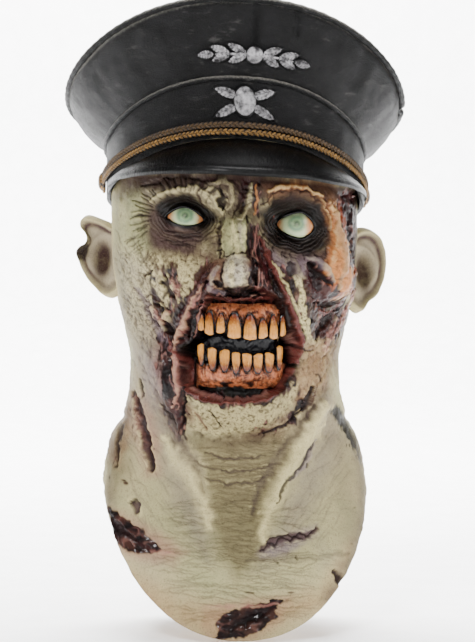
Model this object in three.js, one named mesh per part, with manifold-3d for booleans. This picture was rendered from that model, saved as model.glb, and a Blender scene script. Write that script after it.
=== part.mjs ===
// A latex zombie mask: a hollow head, neck and chest bib, with eyes, gums, teeth and a peaked cap on it.
// Millimetres. +Z is up and the face looks along -Y. The origin is inside the crown, where the mask sits.
import * as THREE from "three";
import { mergeVertices } from "three/addons/utils/BufferGeometryUtils.js";
import Module from "manifold-3d";

const wasm = await Module();
wasm.setup();

// Driving sizes of the head and bib
const headHeight = 268; // top of the crown to the underside of the dropped chin
const headWidth = 188;
const foreDepth = 98; // middle of the neck forward to the brow
const backDepth = 108; // middle of the neck back to the back of the head
const bibDrop = 160; // chin down to the tip of the chest flap
const bibWidth = 201;
const bibFore = 88; // middle of the neck forward to the tip of the chest flap
const bibBack = 96;
const latexWall = 2.6;
const domeDrop = 90; // top of the crown to where the head stops widening
const headLean = 3; // degrees that the cap and the upper face slope down toward +X
const pieceGap = 0.4; // kept between any two pieces

// Driving sizes of the mouth, eyes and ears
const mouthDrop = 213;
const mouthHeight = 84;
const mouthDepth = 18;
const eyeDrop = 123;
const eyeSpread = 80;
const eyeRadius = 15;
const eyeBulge = 8; // how far the ball stands out of its socket
const gumWidth = 68;
const gumClear = 9.5; // mouth's wall beyond each end of the gums
const gumProud = 12; // gums forward of the mouth's floor
const gumDeep = 8; // gums back past the mouth's floor, cut off by it
const toothThick = 4.4;
const toothTall = 19;
const earTall = 68;
const earReach = 38;
const earThick = 6;
const earDrop = 151;
const earBack = 9; // behind the middle of the head
const earFlare = 35; // degrees that the ear turns back from straight out

// Driving sizes of the cap
const capWall = 3;
const capFit = 0.8; // between the band and the head
const capRoom = 5; // between the band and the forehead, where the cap stands free
const sideOverhang = 28; // crown's edge beyond the band, at the sides
const frontOverhang = 20;
const backOverhang = 20;
const crownRise = 9; // highest point of the cap's top over the head's top
const visorReach = 40; // forward of the band
const visorWall = 3;
const pipingRadius = 2.4;
const seamRadius = 1.8;
const cordTall = 10;
const cordThick = 4.6;
const buttonRadius = 9;
const buttonThick = 6;
const badgeWidth = 77;
const badgeThick = 4;
const badgeShift = 6; // upper badge off the middle
const bossHeight = 24; // middle of the lower badge

// Grid counts
const columnCount = 52;
const domeRowCount = 5;
const faceRowCount = 22;
const bibRowCount = 9;
const innerColumnStep = 2;
const hollowReach = 13; // how far round a dent the hollow stays behind it

const frontCrowding = 0.45; // share of an even spacing that the columns keep in front
const sectionPower = 2.2;
const domePower = 2.2;

// Cross-sections of the head: drop is a share of headHeight, the others of its half width and two depths
const headRows = [
  { drop: 0.336, width: 1.0, fore: 1.0, back: 1.0 },
  { drop: 0.448, width: 1.0, fore: 0.96, back: 1.0 },
  { drop: 0.56, width: 0.99, fore: 0.94, back: 0.97 },
  { drop: 0.672, width: 0.945, fore: 0.95, back: 0.91 },
  { drop: 0.765, width: 0.885, fore: 0.94, back: 0.83 },
  { drop: 0.84, width: 0.845, fore: 0.91, back: 0.79 },
  { drop: 0.92, width: 0.855, fore: 0.83, back: 0.76 },
  { drop: 1.0, width: 0.905, fore: 0.66, back: 0.74 },
];

// Cross-sections of the neck and bib: down is a share of the way to the rim,
// and the others are shares of the way from the head's foot to the bib's sizes.
const bibRows = [
  { down: 0, width: 0, fore: 0, back: 0 },
  { down: 0.12, width: 0.27, fore: -0.46, back: -0.05 },
  { down: 0.3, width: 0.59, fore: -0.5, back: 0.12 },
  { down: 0.6, width: 0.83, fore: 0.06, back: 0.5 },
  { down: 1, width: 1, fore: 1, back: 1 },
];
const rim = { side: 0.3, back: 0.45, tip: 1, pull: 1.15 }; // shares of bibDrop, and how pointed the tip is

// Swellings and dents, each along a line. Levels run from 0 at the eyes to 1 at the middle of the mouth.
// x and spread are shares of headWidth, and lift is a share of foreDepth.
const folds = [
  { part: "brow_left", x: -0.32, level: -0.223, toX: -0.105, toLevel: -0.277, spread: 0.037, lift: 0.06 },
  { part: "brow_right", x: 0.105, level: -0.277, toX: 0.32, toLevel: -0.223, spread: 0.037, lift: 0.06 },
  { part: "socket_left", x: -0.255, level: -0.012, toX: -0.165, toLevel: -0.012, spread: 0.064, lift: -0.155 },
  { part: "socket_right", x: 0.165, level: 0.003, toX: 0.265, toLevel: 0.003, spread: 0.069, lift: -0.165 },
  { part: "nose_bridge", x: 0, level: 0.057, toX: 0, toLevel: 0.331, spread: 0.037, lift: 0.15 },
  { part: "nose_tip", x: -0.012, level: 0.414, toX: -0.012, toLevel: 0.465, spread: 0.045, lift: 0.2 },
  { part: "nostril_left", x: -0.085, level: 0.441, toX: -0.085, toLevel: 0.471, spread: 0.034, lift: 0.1 },
  { part: "nostril_right", x: 0.07, level: 0.42, toX: 0.075, toLevel: 0.494, spread: 0.028, lift: 0.04 },
  { part: "cheek_left", x: -0.335, level: 0.277, toX: -0.25, toLevel: 0.39, spread: 0.062, lift: 0.06 },
  { part: "cheek_right", x: 0.34, level: 0.021, toX: 0.37, toLevel: 0.465, spread: 0.05, lift: 0.09 },
  { part: "hollow_left", x: -0.35, level: 0.688, toX: -0.32, toLevel: 1.045, spread: 0.058, lift: -0.045 },
  { part: "hollow_right", x: 0.35, level: 0.688, toX: 0.32, toLevel: 1.045, spread: 0.058, lift: -0.045 },
  { part: "lip", x: -0.13, level: 0.584, toX: 0.13, toLevel: 0.584, spread: 0.035, lift: 0.05 },
  { part: "chin", x: -0.09, level: 1.528, toX: 0.09, toLevel: 1.528, spread: 0.05, lift: 0.11 },
  { part: "neck_cord_left", x: -0.34, level: 1.075, toX: -0.14, toLevel: 2.278, spread: 0.03, lift: 0.065 },
  { part: "neck_cord_right", x: 0.306, level: 1.519, toX: 0.077, toLevel: 2.463, spread: 0.03, lift: 0.065 },
];
const leanRows = [
  { drop: 0.5, share: 1 },
  { drop: 0.8, share: 0.2 },
  { drop: 1, share: 0 },
];

// Rings of the cap: heights over the origin at its front, side and back are shares of headHeight.
// out is a share of the way from the band to the crown's edge.
const capRings = {
  bandFoot: { front: -0.231, side: -0.385, back: -0.4, out: 0 },
  seam: { front: -0.071, side: -0.244, back: -0.27, out: 0 },
  rim: { front: 0.13, side: -0.108, back: -0.18, out: 1 },
  cord: { front: -0.206, side: -0.343, back: -0.36, out: 0 },
  visorEdge: { front: -0.328, side: -0.388, back: -0.4, out: 0 },
};
const crownRows = [
  { up: 0, out: 0 },
  { up: 0.36, out: 0.5 },
  { up: 0.72, out: 0.86 },
  { up: 1, out: 1 },
];
const topRows = [
  { reach: 0.95, rise: 0.08 },
  { reach: 0.62, rise: 0.6 },
  { reach: 0.28, rise: 0.94 },
];
const visorSpan = 82; // degrees to each side of the front
const visorEnd = 0.14; // share of its reach that is left at its ends
const visorFlat = 0.3; // how soon the edge drops toward its ends: less is later
const nickSize = 9; // tear in the crown's edge, on the left of the wearer
const nickAngle = 84;

// Teeth: x and wide are shares of gumWidth, tall is a share of toothTall, and root is how far the root lies
// below the middle of the mouth, as a share of mouthHeight.
const upperTeeth = [
  { x: -0.41, wide: 0.08, tall: 0.68, root: -0.277 },
  { x: -0.335, wide: 0.1, tall: 0.93, root: -0.293 },
  { x: -0.222, wide: 0.092, tall: 0.78, root: -0.277 },
  { x: -0.09, wide: 0.138, tall: 1.0, root: -0.28 },
  { x: 0.069, wide: 0.138, tall: 1.0, root: -0.267 },
  { x: 0.202, wide: 0.1, tall: 0.78, root: -0.232 },
  { x: 0.31, wide: 0.098, tall: 0.97, root: -0.267 },
  { x: 0.405, wide: 0.076, tall: 0.82, root: -0.258 },
];
const lowerTeeth = [
  { x: -0.408, wide: 0.085, tall: 0.88, root: 0.186 },
  { x: -0.301, wide: 0.098, tall: 0.91, root: 0.227 },
  { x: -0.181, wide: 0.108, tall: 0.87, root: 0.237 },
  { x: -0.068, wide: 0.088, tall: 0.87, root: 0.256 },
  { x: 0.043, wide: 0.104, tall: 0.74, root: 0.237 },
  { x: 0.156, wide: 0.1, tall: 0.8, root: 0.256 },
  { x: 0.271, wide: 0.108, tall: 0.8, root: 0.246 },
  { x: 0.378, wide: 0.086, tall: 0.95, root: 0.221 },
];

// Cross-sections of a tooth from its root down: shares of its height, width and thickness
const toothRows = [
  { down: 0, wide: 0.35, thick: 0.5 },
  { down: 0.3, wide: 0.72, thick: 0.9 },
  { down: 0.75, wide: 1, thick: 1 },
  { down: 1, wide: 0.88, thick: 0.6 },
];
const toothLoop = [
  [-0.8, 0],
  [0.8, 0],
  [1, 0.45],
  [0.55, 0.95],
  [-0.55, 0.95],
  [-1, 0.45],
];
const gumSections = [
  { down: 0, proud: 0.72 },
  { down: 0.18, proud: 1 },
  { down: 0.82, proud: 1 },
  { down: 1, proud: 0.72 },
];
const gumRows = {
  upper: { top: -0.357, foot: -0.159 },
  lower: { top: 0.16, foot: 0.377 },
};

// Leaves of the upper badge: x and long are shares of badgeWidth, tilt is in degrees
const leafRows = [
  { x: 0.15, long: 0.2, tilt: 27 },
  { x: 0.15, long: 0.2, tilt: -22 },
  { x: 0.3, long: 0.19, tilt: 22 },
  { x: 0.3, long: 0.19, tilt: -18 },
  { x: 0.43, long: 0.15, tilt: 2 },
];

const degrees = THREE.MathUtils.degToRad;
const ease = (low, high, v) => THREE.MathUtils.smoothstep(v, low, high);
const curved = (v, power) => Math.sign(v) * Math.abs(v) ** (2 / power);

// The value of a table's column at a place, on a curve that never overshoots its rows.
function readTable(rows, place, column, at) {
  const last = rows.length - 1;
  if (at <= rows[0][place]) return rows[0][column];
  if (at >= rows[last][place]) return rows[last][column];
  const slope = (k) => (rows[k + 1][column] - rows[k][column]) / (rows[k + 1][place] - rows[k][place]);
  const tangent = (k) => {
    if (k === 0 || k === last) return 0;
    const [before, after] = [slope(k - 1), slope(k)];
    return before * after <= 0 ? 0 : (2 * before * after) / (before + after);
  };
  const i = rows.findIndex((row, k) => k < last && at < rows[k + 1][place]);
  const span = rows[i + 1][place] - rows[i][place];
  const t = (at - rows[i][place]) / span;
  const straight = THREE.MathUtils.lerp(rows[i][column], rows[i + 1][column], t);
  const pull = t * (1 - t) * span;
  return straight + pull * ((1 - t) * (tangent(i) - slope(i)) - t * (tangent(i + 1) - slope(i)));
}

// A horizontal section: half width, reach forward and reach back.
function headSection(drop) {
  const place = Math.max(drop, domeDrop) / headHeight;
  const up = Math.max(0, 1 - drop / domeDrop);
  const dome = (1 - up ** domePower) ** (1 / domePower);
  return {
    width: (dome * readTable(headRows, "drop", "width", place) * headWidth) / 2,
    fore: dome * readTable(headRows, "drop", "fore", place) * foreDepth,
    back: dome * readTable(headRows, "drop", "back", place) * backDepth,
  };
}

function bibSection(down) {
  const start = headSection(headHeight);
  const toward = (from, to, column) => from + (to - from) * readTable(bibRows, "down", column, down);
  return {
    width: toward(start.width, bibWidth / 2, "width"),
    fore: toward(start.fore, bibFore, "fore"),
    back: toward(start.back, bibBack, "back"),
  };
}

// Angle 0 is the front, and positive angles go toward +X.
function onSection(section, angle) {
  const across = curved(Math.sin(angle), sectionPower);
  const forward = curved(Math.cos(angle), sectionPower);
  const depth = forward > 0 ? section.fore : section.back;
  return new THREE.Vector2(across * section.width, -forward * depth);
}

function rimDrop(angle) {
  const fore = Math.max(Math.cos(angle), 0) ** rim.pull;
  const aft = Math.max(-Math.cos(angle), 0) ** 2;
  return headHeight + bibDrop * (rim.side + (rim.tip - rim.side) * fore + (rim.back - rim.side) * aft);
}

// How far the face slopes down at a distance to the side.
function leanAt(x, drop) {
  return x * Math.tan(degrees(headLean)) * readTable(leanRows, "drop", "share", drop / headHeight);
}

const levelDrop = (level) => eyeDrop + level * (mouthDrop - eyeDrop);

// How far a fold lifts the skin at a place, by its distance from the fold's line.
function foldLift(fold, x, drop) {
  const start = new THREE.Vector3(fold.x * headWidth, levelDrop(fold.level), 0);
  const end = new THREE.Vector3(fold.toX * headWidth, levelDrop(fold.toLevel), 0);
  const place = new THREE.Vector3(x, drop, 0);
  const nearest = new THREE.Line3(start, end).closestPointToPoint(place, true, new THREE.Vector3());
  const away = nearest.distanceTo(place) / (fold.spread * headWidth);
  return fold.lift * foreDepth * Math.exp((-away * away) / 2);
}

function mouthDent(x, drop) {
  const across = Math.abs(x / (gumWidth / 2 + gumClear)) ** 2.6;
  const along = Math.abs((drop - mouthDrop) / (mouthHeight / 2)) ** 2.6;
  return mouthDepth * (1 - ease(0.8, 1.06, (across + along) ** (1 / 2.6)));
}

function faceLift(x, drop) {
  return folds.reduce((sum, fold) => sum + foldLift(fold, x, drop), 0) - mouthDent(x, drop);
}

// The lowest the skin lies anywhere near a place, one wall in.
function hollowLift(x, drop) {
  const reach = [-1, -0.5, 0, 0.5, 1].map((share) => share * hollowReach);
  return Math.min(...reach.flatMap((dx) => reach.map((dz) => faceLift(x + dx, drop + dz))));
}

// The skin's outside at an angle. Past the chin, down says how far to the rim it is.
function skinPoint(angle, drop, down = 0, lift = faceLift) {
  const section = down > 0 ? bibSection(down) : headSection(drop);
  const deep = down > 0 ? headHeight + down * (rimDrop(angle) - headHeight) : drop;
  const base = onSection(section, angle);
  base.addScaledVector(base.clone().normalize(), lift(base.x, deep) * ease(-0.1, 0.35, Math.cos(angle)));
  return new THREE.Vector3(base.x, base.y, latexWall - deep - leanAt(base.x, deep));
}

// The skin's outside in front, at a distance from the middle.
function skinFront(x, drop) {
  const half = headSection(drop).width;
  return skinPoint(Math.sign(x) * Math.asin((Math.abs(x) / half) ** (sectionPower / 2)), drop);
}

// Angles of the columns, closer together in front than behind.
const columnAngles = Array.from({ length: columnCount }, (_, k) => {
  const share = (2 * k) / columnCount - 1;
  return Math.PI * share * (frontCrowding + (1 - frontCrowding) * Math.abs(share) ** 1.5);
});

const skinRows = [
  ...Array.from({ length: domeRowCount }, (_, k) => {
    return { drop: domeDrop * (1 - Math.cos(((k + 1) / domeRowCount) * 0.5 * Math.PI)), down: 0 };
  }),
  ...Array.from({ length: faceRowCount }, (_, k) => {
    return { drop: domeDrop + ((headHeight - domeDrop) * (k + 1)) / faceRowCount, down: 0 };
  }),
  ...Array.from({ length: bibRowCount }, (_, k) => {
    return { drop: headHeight, down: (k + 1) / bibRowCount };
  }),
];

// A closed surface through rings of points, between a first and a last point.
function loft(first, rings, last) {
  const count = rings[0].length;
  const points = [first, ...rings.flat(), last];
  const at = (ring, k) => 1 + ring * count + (k % count);
  const faces = [];
  for (let k = 0; k < count; k += 1) {
    faces.push(0, at(0, k), at(0, k + 1));
    faces.push(points.length - 1, at(rings.length - 1, k + 1), at(rings.length - 1, k));
    for (let ring = 0; ring + 1 < rings.length; ring += 1) {
      faces.push(at(ring, k), at(ring + 1, k), at(ring + 1, k + 1));
      faces.push(at(ring, k), at(ring + 1, k + 1), at(ring, k + 1));
    }
  }
  return geometryOf(points, faces);
}

// A closed hoop through profiles, each a loop of points, whose last profile joins the first.
function hoop(profiles) {
  const count = profiles[0].length;
  const at = (profile, k) => (profile % profiles.length) * count + (k % count);
  const faces = [];
  for (let p = 0; p < profiles.length; p += 1) {
    for (let k = 0; k < count; k += 1) {
      faces.push(at(p, k), at(p + 1, k), at(p + 1, k + 1));
      faces.push(at(p, k), at(p + 1, k + 1), at(p, k + 1));
    }
  }
  return geometryOf(profiles.flat(), faces);
}

// A closed bar through profiles, with flat ends.
function bar(profiles) {
  const middle = (loop) => loop.reduce((sum, p) => sum.add(p), new THREE.Vector3()).divideScalar(loop.length);
  return loft(middle(profiles[0]), profiles, middle(profiles[profiles.length - 1]));
}

function geometryOf(points, faces) {
  const geometry = new THREE.BufferGeometry().setFromPoints(points);
  geometry.setIndex(faces);
  return signedVolume(points, faces) < 0 ? turned(geometry) : geometry;
}

function signedVolume(points, faces) {
  let sum = 0;
  for (let k = 0; k < faces.length; k += 3) {
    const [a, b, c] = [points[faces[k]], points[faces[k + 1]], points[faces[k + 2]]];
    sum += a.dot(b.clone().cross(c)) / 6;
  }
  return sum;
}

// The same surface with each face turned round.
function turned(geometry) {
  const index = Array.from(geometry.index.array);
  for (let k = 0; k < index.length; k += 3) [index[k + 1], index[k + 2]] = [index[k + 2], index[k + 1]];
  return geometry.clone().setIndex(index);
}

function mirrored(geometry) {
  return turned(geometry.clone().applyMatrix4(new THREE.Matrix4().makeScale(-1, 1, 1)));
}

function solidOf(geometry) {
  const bare = geometry.clone();
  bare.deleteAttribute("normal");
  bare.deleteAttribute("uv");
  const merged = mergeVertices(bare, 1e-4);
  return new wasm.Manifold(
    new wasm.Mesh({
      numProp: 3,
      vertProperties: new Float32Array(merged.attributes.position.array),
      triVerts: new Uint32Array(merged.index.array),
    }),
  );
}

function geometryFrom(solid) {
  const { vertProperties, triVerts, numProp } = solid.getMesh();
  const positions = [];
  for (let k = 0; k < vertProperties.length; k += numProp) positions.push(...vertProperties.slice(k, k + 3));
  const geometry = new THREE.BufferGeometry();
  geometry.setAttribute("position", new THREE.Float32BufferAttribute(positions, 3));
  geometry.setIndex(Array.from(triVerts));
  return geometry;
}

// Skin: one casting of head, ears, neck and bib, open below.
function skinOutside(shiftForward = 0) {
  const rings = skinRows.map((row) => columnAngles.map((angle) => skinPoint(angle, row.drop, row.down)));
  const top = new THREE.Vector3(0, 0, latexWall);
  const foot = rings[rings.length - 1].reduce((sum, p) => sum + p.z, 0) / columnCount;
  return loft(top, rings, new THREE.Vector3(0, 0, foot)).translate(0, -shiftForward, 0);
}

// The hollow lies a wall inside the section, and behind the deepest dent near each of its points.
function skinHollow() {
  const rings = [];
  for (let row = 1; row < skinRows.length + 1; row += 2) {
    const { drop, down } = skinRows[Math.min(row, skinRows.length - 1)];
    const lower = row < domeRowCount ? latexWall : 0;
    const pastRim = row >= skinRows.length - 2 ? (row - skinRows.length + 3) * latexWall : 0;
    rings.push(
      columnAngles
        .filter((_, column) => column % innerColumnStep === 0)
        .map((angle) => {
          const p = skinPoint(angle, drop, down, hollowLift);
          const size = Math.hypot(p.x, p.y);
          const shrink = (size - latexWall) / size;
          return new THREE.Vector3(p.x * shrink, p.y * shrink, p.z - lower - pastRim);
        }),
    );
  }
  const foot = rings[rings.length - 1].reduce((sum, p) => sum + p.z, 0) / rings[0].length;
  return loft(new THREE.Vector3(0, 0, 0), rings, new THREE.Vector3(0, 0, foot - 4 * latexWall));
}

// An ear in its own plane: reach outward along x, height along y, the front toward z.
function earGeometry() {
  const [reach, half] = [earReach, earTall / 2];
  const outline = new THREE.Shape();
  outline.moveTo(-0.2 * reach, 0.6 * half);
  outline.bezierCurveTo(0.15 * reach, 1.05 * half, 0.75 * reach, 1.1 * half, 0.9 * reach, 0.7 * half);
  outline.bezierCurveTo(1.1 * reach, 0.3 * half, 1.0 * reach, -0.1 * half, 0.7 * reach, -0.5 * half);
  outline.bezierCurveTo(0.5 * reach, -0.85 * half, 0.3 * reach, -1.05 * half, 0.05 * reach, -0.98 * half);
  outline.lineTo(-0.2 * reach, -0.7 * half);
  const plate = new THREE.ExtrudeGeometry(outline, {
    depth: earThick,
    curveSegments: 5,
    bevelThickness: earThick / 4,
    bevelSize: earThick / 4,
    bevelSegments: 1,
  });
  const bowl = new THREE.SphereGeometry(1, 12, 8);
  bowl.scale(0.52 * reach, 0.62 * half, earThick);
  bowl.translate(0.36 * reach, 0.08 * half, 1.25 * earThick);
  return geometryFrom(solidOf(plate).subtract(solidOf(bowl)));
}

function earPlaced(geometry) {
  const flare = degrees(earFlare);
  const out = new THREE.Vector3(Math.cos(flare), Math.sin(flare), 0);
  const up = new THREE.Vector3(0, 0, 1);
  const place = new THREE.Matrix4().makeBasis(out, up, out.clone().cross(up));
  const root = headSection(earDrop).width - earThick;
  return geometry.clone().applyMatrix4(place.setPosition(root, earBack, latexWall - earDrop));
}

function makeSkin() {
  const ear = earPlaced(earGeometry());
  const sink = leanAt(headWidth / 2, earDrop);
  const earLeft = ear.clone().translate(0, 0, -sink);
  const earRight = mirrored(ear).translate(0, 0, sink);
  const bite = new THREE.SphereGeometry(0.2 * earReach, 8, 6);
  const biteHeight = latexWall - earDrop + sink + 0.28 * earTall;
  bite.translate(-headWidth / 2 - 0.7 * earReach, earBack + 0.55 * earReach, biteHeight);
  const whole = solidOf(skinOutside()).add(solidOf(earLeft)).add(solidOf(earRight).subtract(solidOf(bite)));
  return geometryFrom(whole.subtract(solidOf(skinHollow())));
}

// What sits in front of the skin is cut to it, with the gap between them.
const skinToSeatOn = solidOf(skinOutside(pieceGap));

function makeEye(side) {
  const ball = new THREE.SphereGeometry(eyeRadius, 16, 12);
  const floor = skinFront((side * eyeSpread) / 2, eyeDrop);
  ball.translate((side * eyeSpread) / 2, floor.y + eyeRadius - eyeBulge, floor.z);
  return geometryFrom(largest(solidOf(ball).subtract(skinToSeatOn)));
}

function largest(solid) {
  return solid.decompose().reduce((best, body) => (body.volume() > best.volume() ? body : best));
}

// The mouth's floor at a drop, as one smooth curve across.
function mouthFloor(x, drop) {
  const section = headSection(drop);
  const across = (Math.abs(x) / section.width) ** sectionPower;
  return mouthDepth - section.fore * (1 - across) ** (1 / sectionPower);
}

// The gum's front line, seen from above: it stands proud of the floor and runs back to it at both ends.
function archPoint(x, drop, proud = gumProud) {
  const across = Math.min(Math.abs(x) / (gumWidth / 2), 1);
  return new THREE.Vector2(x, mouthFloor(x, drop) - proud * Math.sqrt(1 - across * across));
}

function makeGum({ top, foot }) {
  const steps = 12;
  const rings = gumSections.map(({ down, proud }) => {
    const drop = mouthDrop + mouthHeight * THREE.MathUtils.lerp(top, foot, down);
    const front = Array.from({ length: steps + 1 }, (_, k) => {
      return archPoint((-Math.cos((Math.PI * k) / steps) * gumWidth) / 2, drop, proud * gumProud);
    });
    const behind = mouthFloor(gumWidth / 2, drop) + gumDeep;
    const back = [1, -1].map((side) => new THREE.Vector2((side * gumWidth) / 2, behind));
    return [...front, ...back].map((p) => new THREE.Vector3(p.x, p.y, latexWall - drop));
  });
  return geometryFrom(largest(solidOf(bar(rings)).subtract(skinToSeatOn)));
}

// A tooth stands in front of the gum and narrows toward its root. Lower teeth are the same, turned over.
function makeTooth(row, turn) {
  const [half, tall] = [(row.wide * gumWidth) / 2, row.tall * toothTall];
  const rings = toothRows.map(({ down, wide, thick }) =>
    toothLoop.map(([across, out]) => {
      return new THREE.Vector3(across * half * wide, -down * tall, toothThick * out * thick);
    }),
  );
  const middle = (down) => new THREE.Vector3(0, -down * tall, toothThick * 0.3);
  const tooth = loft(middle(0), rings, middle(1.02));
  if (turn) tooth.rotateZ(Math.PI);
  const x = row.x * gumWidth;
  const gum = turn ? gumRows.lower : gumRows.upper;
  const seatDrop = mouthDrop + mouthHeight * THREE.MathUtils.lerp(gum.top, gum.foot, gumSections[1].down);
  const foot = archPoint(x, seatDrop);
  const tangent = archPoint(x + 1, seatDrop).sub(archPoint(x - 1, seatDrop)).normalize();
  const along = new THREE.Vector3(tangent.x, tangent.y, 0);
  const up = new THREE.Vector3(0, 0, 1);
  const forward = along.clone().cross(up);
  const place = new THREE.Matrix4().makeBasis(along, up, forward);
  const back = forward.clone().multiplyScalar(pieceGap);
  place.setPosition(foot.x + back.x, foot.y + back.y, latexWall - mouthDrop - row.root * mouthHeight);
  return geometryFrom(largest(solidOf(tooth.applyMatrix4(place)).subtract(skinToSeatOn)));
}

// The band's inside clears the head at its widest, and the cap's other rings are set out from its outside.
const bandInside = {
  width: headWidth / 2 + capFit,
  fore: headSection(domeDrop).fore + capRoom,
  back: backDepth + capFit,
};

const bandOutside = {
  width: bandInside.width + capWall,
  fore: bandInside.fore + capWall,
  back: bandInside.back + capWall,
};

function ringHeight(ring, angle) {
  const c = Math.cos(angle);
  const lean = (ring.front - ring.back) / 2;
  const arch = (ring.front + ring.back) / 2 - ring.side;
  return headHeight * (ring.side + lean * c + arch * c * c);
}

// A point of the cap. Out runs from the band to the crown's edge, and outward is in millimetres.
function capPlace(angle, out, outward, height) {
  const section = {
    width: bandOutside.width + out * sideOverhang + outward,
    fore: bandOutside.fore + out * frontOverhang + outward,
    back: bandOutside.back + out * backOverhang + outward,
  };
  const p = onSection(section, angle);
  return new THREE.Vector3(p.x, p.y, height - p.x * Math.tan(degrees(headLean)));
}

function capPoint(ring, angle, outward = 0, lift = 0) {
  return capPlace(angle, ring.out, outward, ringHeight(ring, angle) + lift);
}

function makeBand() {
  const { bandFoot, seam } = capRings;
  return hoop(
    columnAngles.map((angle) => [
      capPoint(bandFoot, angle),
      capPoint(seam, angle, 0, -pieceGap / 2),
      capPoint(seam, angle, -capWall, -pieceGap / 2),
      capPoint(bandFoot, angle, -capWall),
    ]),
  );
}

// The crown's rings, from the middle of its low dome out to the edge and down to the seam.
function crownRings(inset) {
  const { seam, rim: edge } = capRings;
  const slant = 1.3 * inset;
  const topHeight = latexWall + crownRise - inset;
  const top = topRows.map((row) =>
    columnAngles.map((angle) => {
      const p = capPoint(edge, angle, -slant, -1.5 * inset);
      const height = THREE.MathUtils.lerp(p.z, topHeight, row.rise);
      return new THREE.Vector3(p.x * row.reach, p.y * row.reach, height);
    }),
  );
  const sides = crownRows.map((row) =>
    columnAngles.map((angle) => {
      const [low, high] = [ringHeight(seam, angle) + pieceGap / 2, ringHeight(edge, angle) - inset / 2];
      return capPlace(angle, row.out, -slant, THREE.MathUtils.lerp(low, high, row.up));
    }),
  );
  return [...top.reverse(), ...sides.reverse()];
}

function makeCrown() {
  const topAt = (inset) => new THREE.Vector3(0, 0, latexWall + crownRise - inset);
  const shell = loft(topAt(0), [...crownRings(0), ...crownRings(capWall).reverse()], topAt(capWall));
  const at = capPoint(capRings.rim, degrees(nickAngle));
  const nick = new THREE.OctahedronGeometry(nickSize / 2).translate(at.x + nickSize / 5, at.y, at.z);
  return geometryFrom(solidOf(shell).subtract(solidOf(nick)));
}

// A round welt laid outside a ring of the cap.
function makePiping(ring, radius, lift) {
  const sides = 4;
  return hoop(
    columnAngles.map((angle) => {
      return Array.from({ length: sides }, (_, k) => {
        const turn = (2 * Math.PI * k) / sides;
        const outward = radius * Math.cos(turn) + radius + pieceGap;
        return capPoint(ring, angle, outward, radius * Math.sin(turn) + lift);
      });
    }),
  );
}

function visorPoint(angle, share, proud) {
  const root = capPoint(capRings.bandFoot, angle);
  const ahead = THREE.MathUtils.lerp(visorEnd, 1, Math.cos((angle / degrees(visorSpan)) * (Math.PI / 2)));
  const edge = capRings.visorEdge;
  const level = headHeight * THREE.MathUtils.lerp(edge.side, edge.front, ahead ** visorFlat);
  const tip = capPlace(angle, 0, 0, level);
  tip.add(new THREE.Vector3(0.05 * ahead * root.x, -visorReach * ahead ** 0.9, 0));
  const bow = Math.sin(share * Math.PI) * visorWall;
  return root.lerp(tip, share).add(new THREE.Vector3(0, -0.3 * bow, bow + proud));
}

// A crescent that starts at the foot of the band and slopes down in front.
function makeVisor() {
  const outer = pieceGap / visorReach;
  const profiles = [];
  const steps = 22;
  for (let k = 0; k <= steps; k += 1) {
    const angle = degrees(visorSpan) * ((2 * k) / steps - 1);
    const start = new THREE.Vector3(0, -pieceGap, -pieceGap - visorWall);
    const upper = [outer, 0.35, 0.7, 1].map((share) => visorPoint(angle, share, visorWall).add(start));
    const lower = [1, 0.7, 0.35, outer].map((share) => visorPoint(angle, share, 0).add(start));
    profiles.push([...upper, ...lower]);
  }
  return bar(profiles);
}

// Two plaited strands side by side, laid round the front of the band from button to button.
function makeCord() {
  const span = degrees(90) - buttonRadius / bandOutside.width;
  const steps = 28;
  const profiles = [];
  for (let k = 0; k <= steps; k += 1) {
    const angle = span * ((2 * k) / steps - 1);
    const section = [
      [0, -0.42],
      [0.6, -0.5],
      [1, -0.25],
      [0.62, 0],
      [1, 0.25],
      [0.6, 0.5],
      [0, 0.42],
    ];
    profiles.push(
      section.map(([out, up]) => capPoint(capRings.cord, angle, pieceGap + out * cordThick, up * cordTall)),
    );
  }
  return bar(profiles);
}

// A domed button on the side of the band, over the end of the cord.
function makeButton(side) {
  const profile = [
    [0, 0],
    [0.82, 0],
    [1, 0.3],
    [0.8, 0.75],
    [0.4, 0.96],
    [0, 1],
  ].map(([r, h]) => new THREE.Vector2(r * buttonRadius, h * buttonThick));
  const button = new THREE.LatheGeometry(profile, 10);
  button.rotateZ((-side * Math.PI) / 2);
  const seat = capPoint(capRings.cord, (side * Math.PI) / 2, pieceGap);
  return button.translate(seat.x, seat.y, seat.z);
}

// Bends a flat piece, with x across, y outward and z up, onto the front of the cap.
function bentOnCap(geometry, low, high, up, shift) {
  const bent = geometry.clone();
  const place = bent.attributes.position;
  const half = bandOutside.width + THREE.MathUtils.lerp(low.out, high.out, up) * sideOverhang;
  for (let k = 0; k < place.count; k += 1) {
    const x = place.getX(k) + shift;
    const angle = Math.sign(x) * Math.asin((Math.abs(x) / half) ** (sectionPower / 2));
    const [foot, head] = [ringHeight(low, angle), ringHeight(high, angle)];
    const share = up + place.getZ(k) / (head - foot);
    const out = high.out * readTable(crownRows, "up", "out", share);
    const p = capPlace(angle, out, place.getY(k), THREE.MathUtils.lerp(foot, head, share));
    place.setXYZ(k, p.x, p.y, p.z);
  }
  return turned(bent);
}

function knob(wide, deep, tall, x, z, tilt = 0) {
  const ball = new THREE.SphereGeometry(0.5, 6, wide > 3 * tall ? 4 : 3);
  const shape = ball.scale(wide, deep, tall).rotateY(degrees(-tilt));
  return solidOf(shape.translate(x, pieceGap + deep / 2 + badgeThick * 0.1, z));
}

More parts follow.
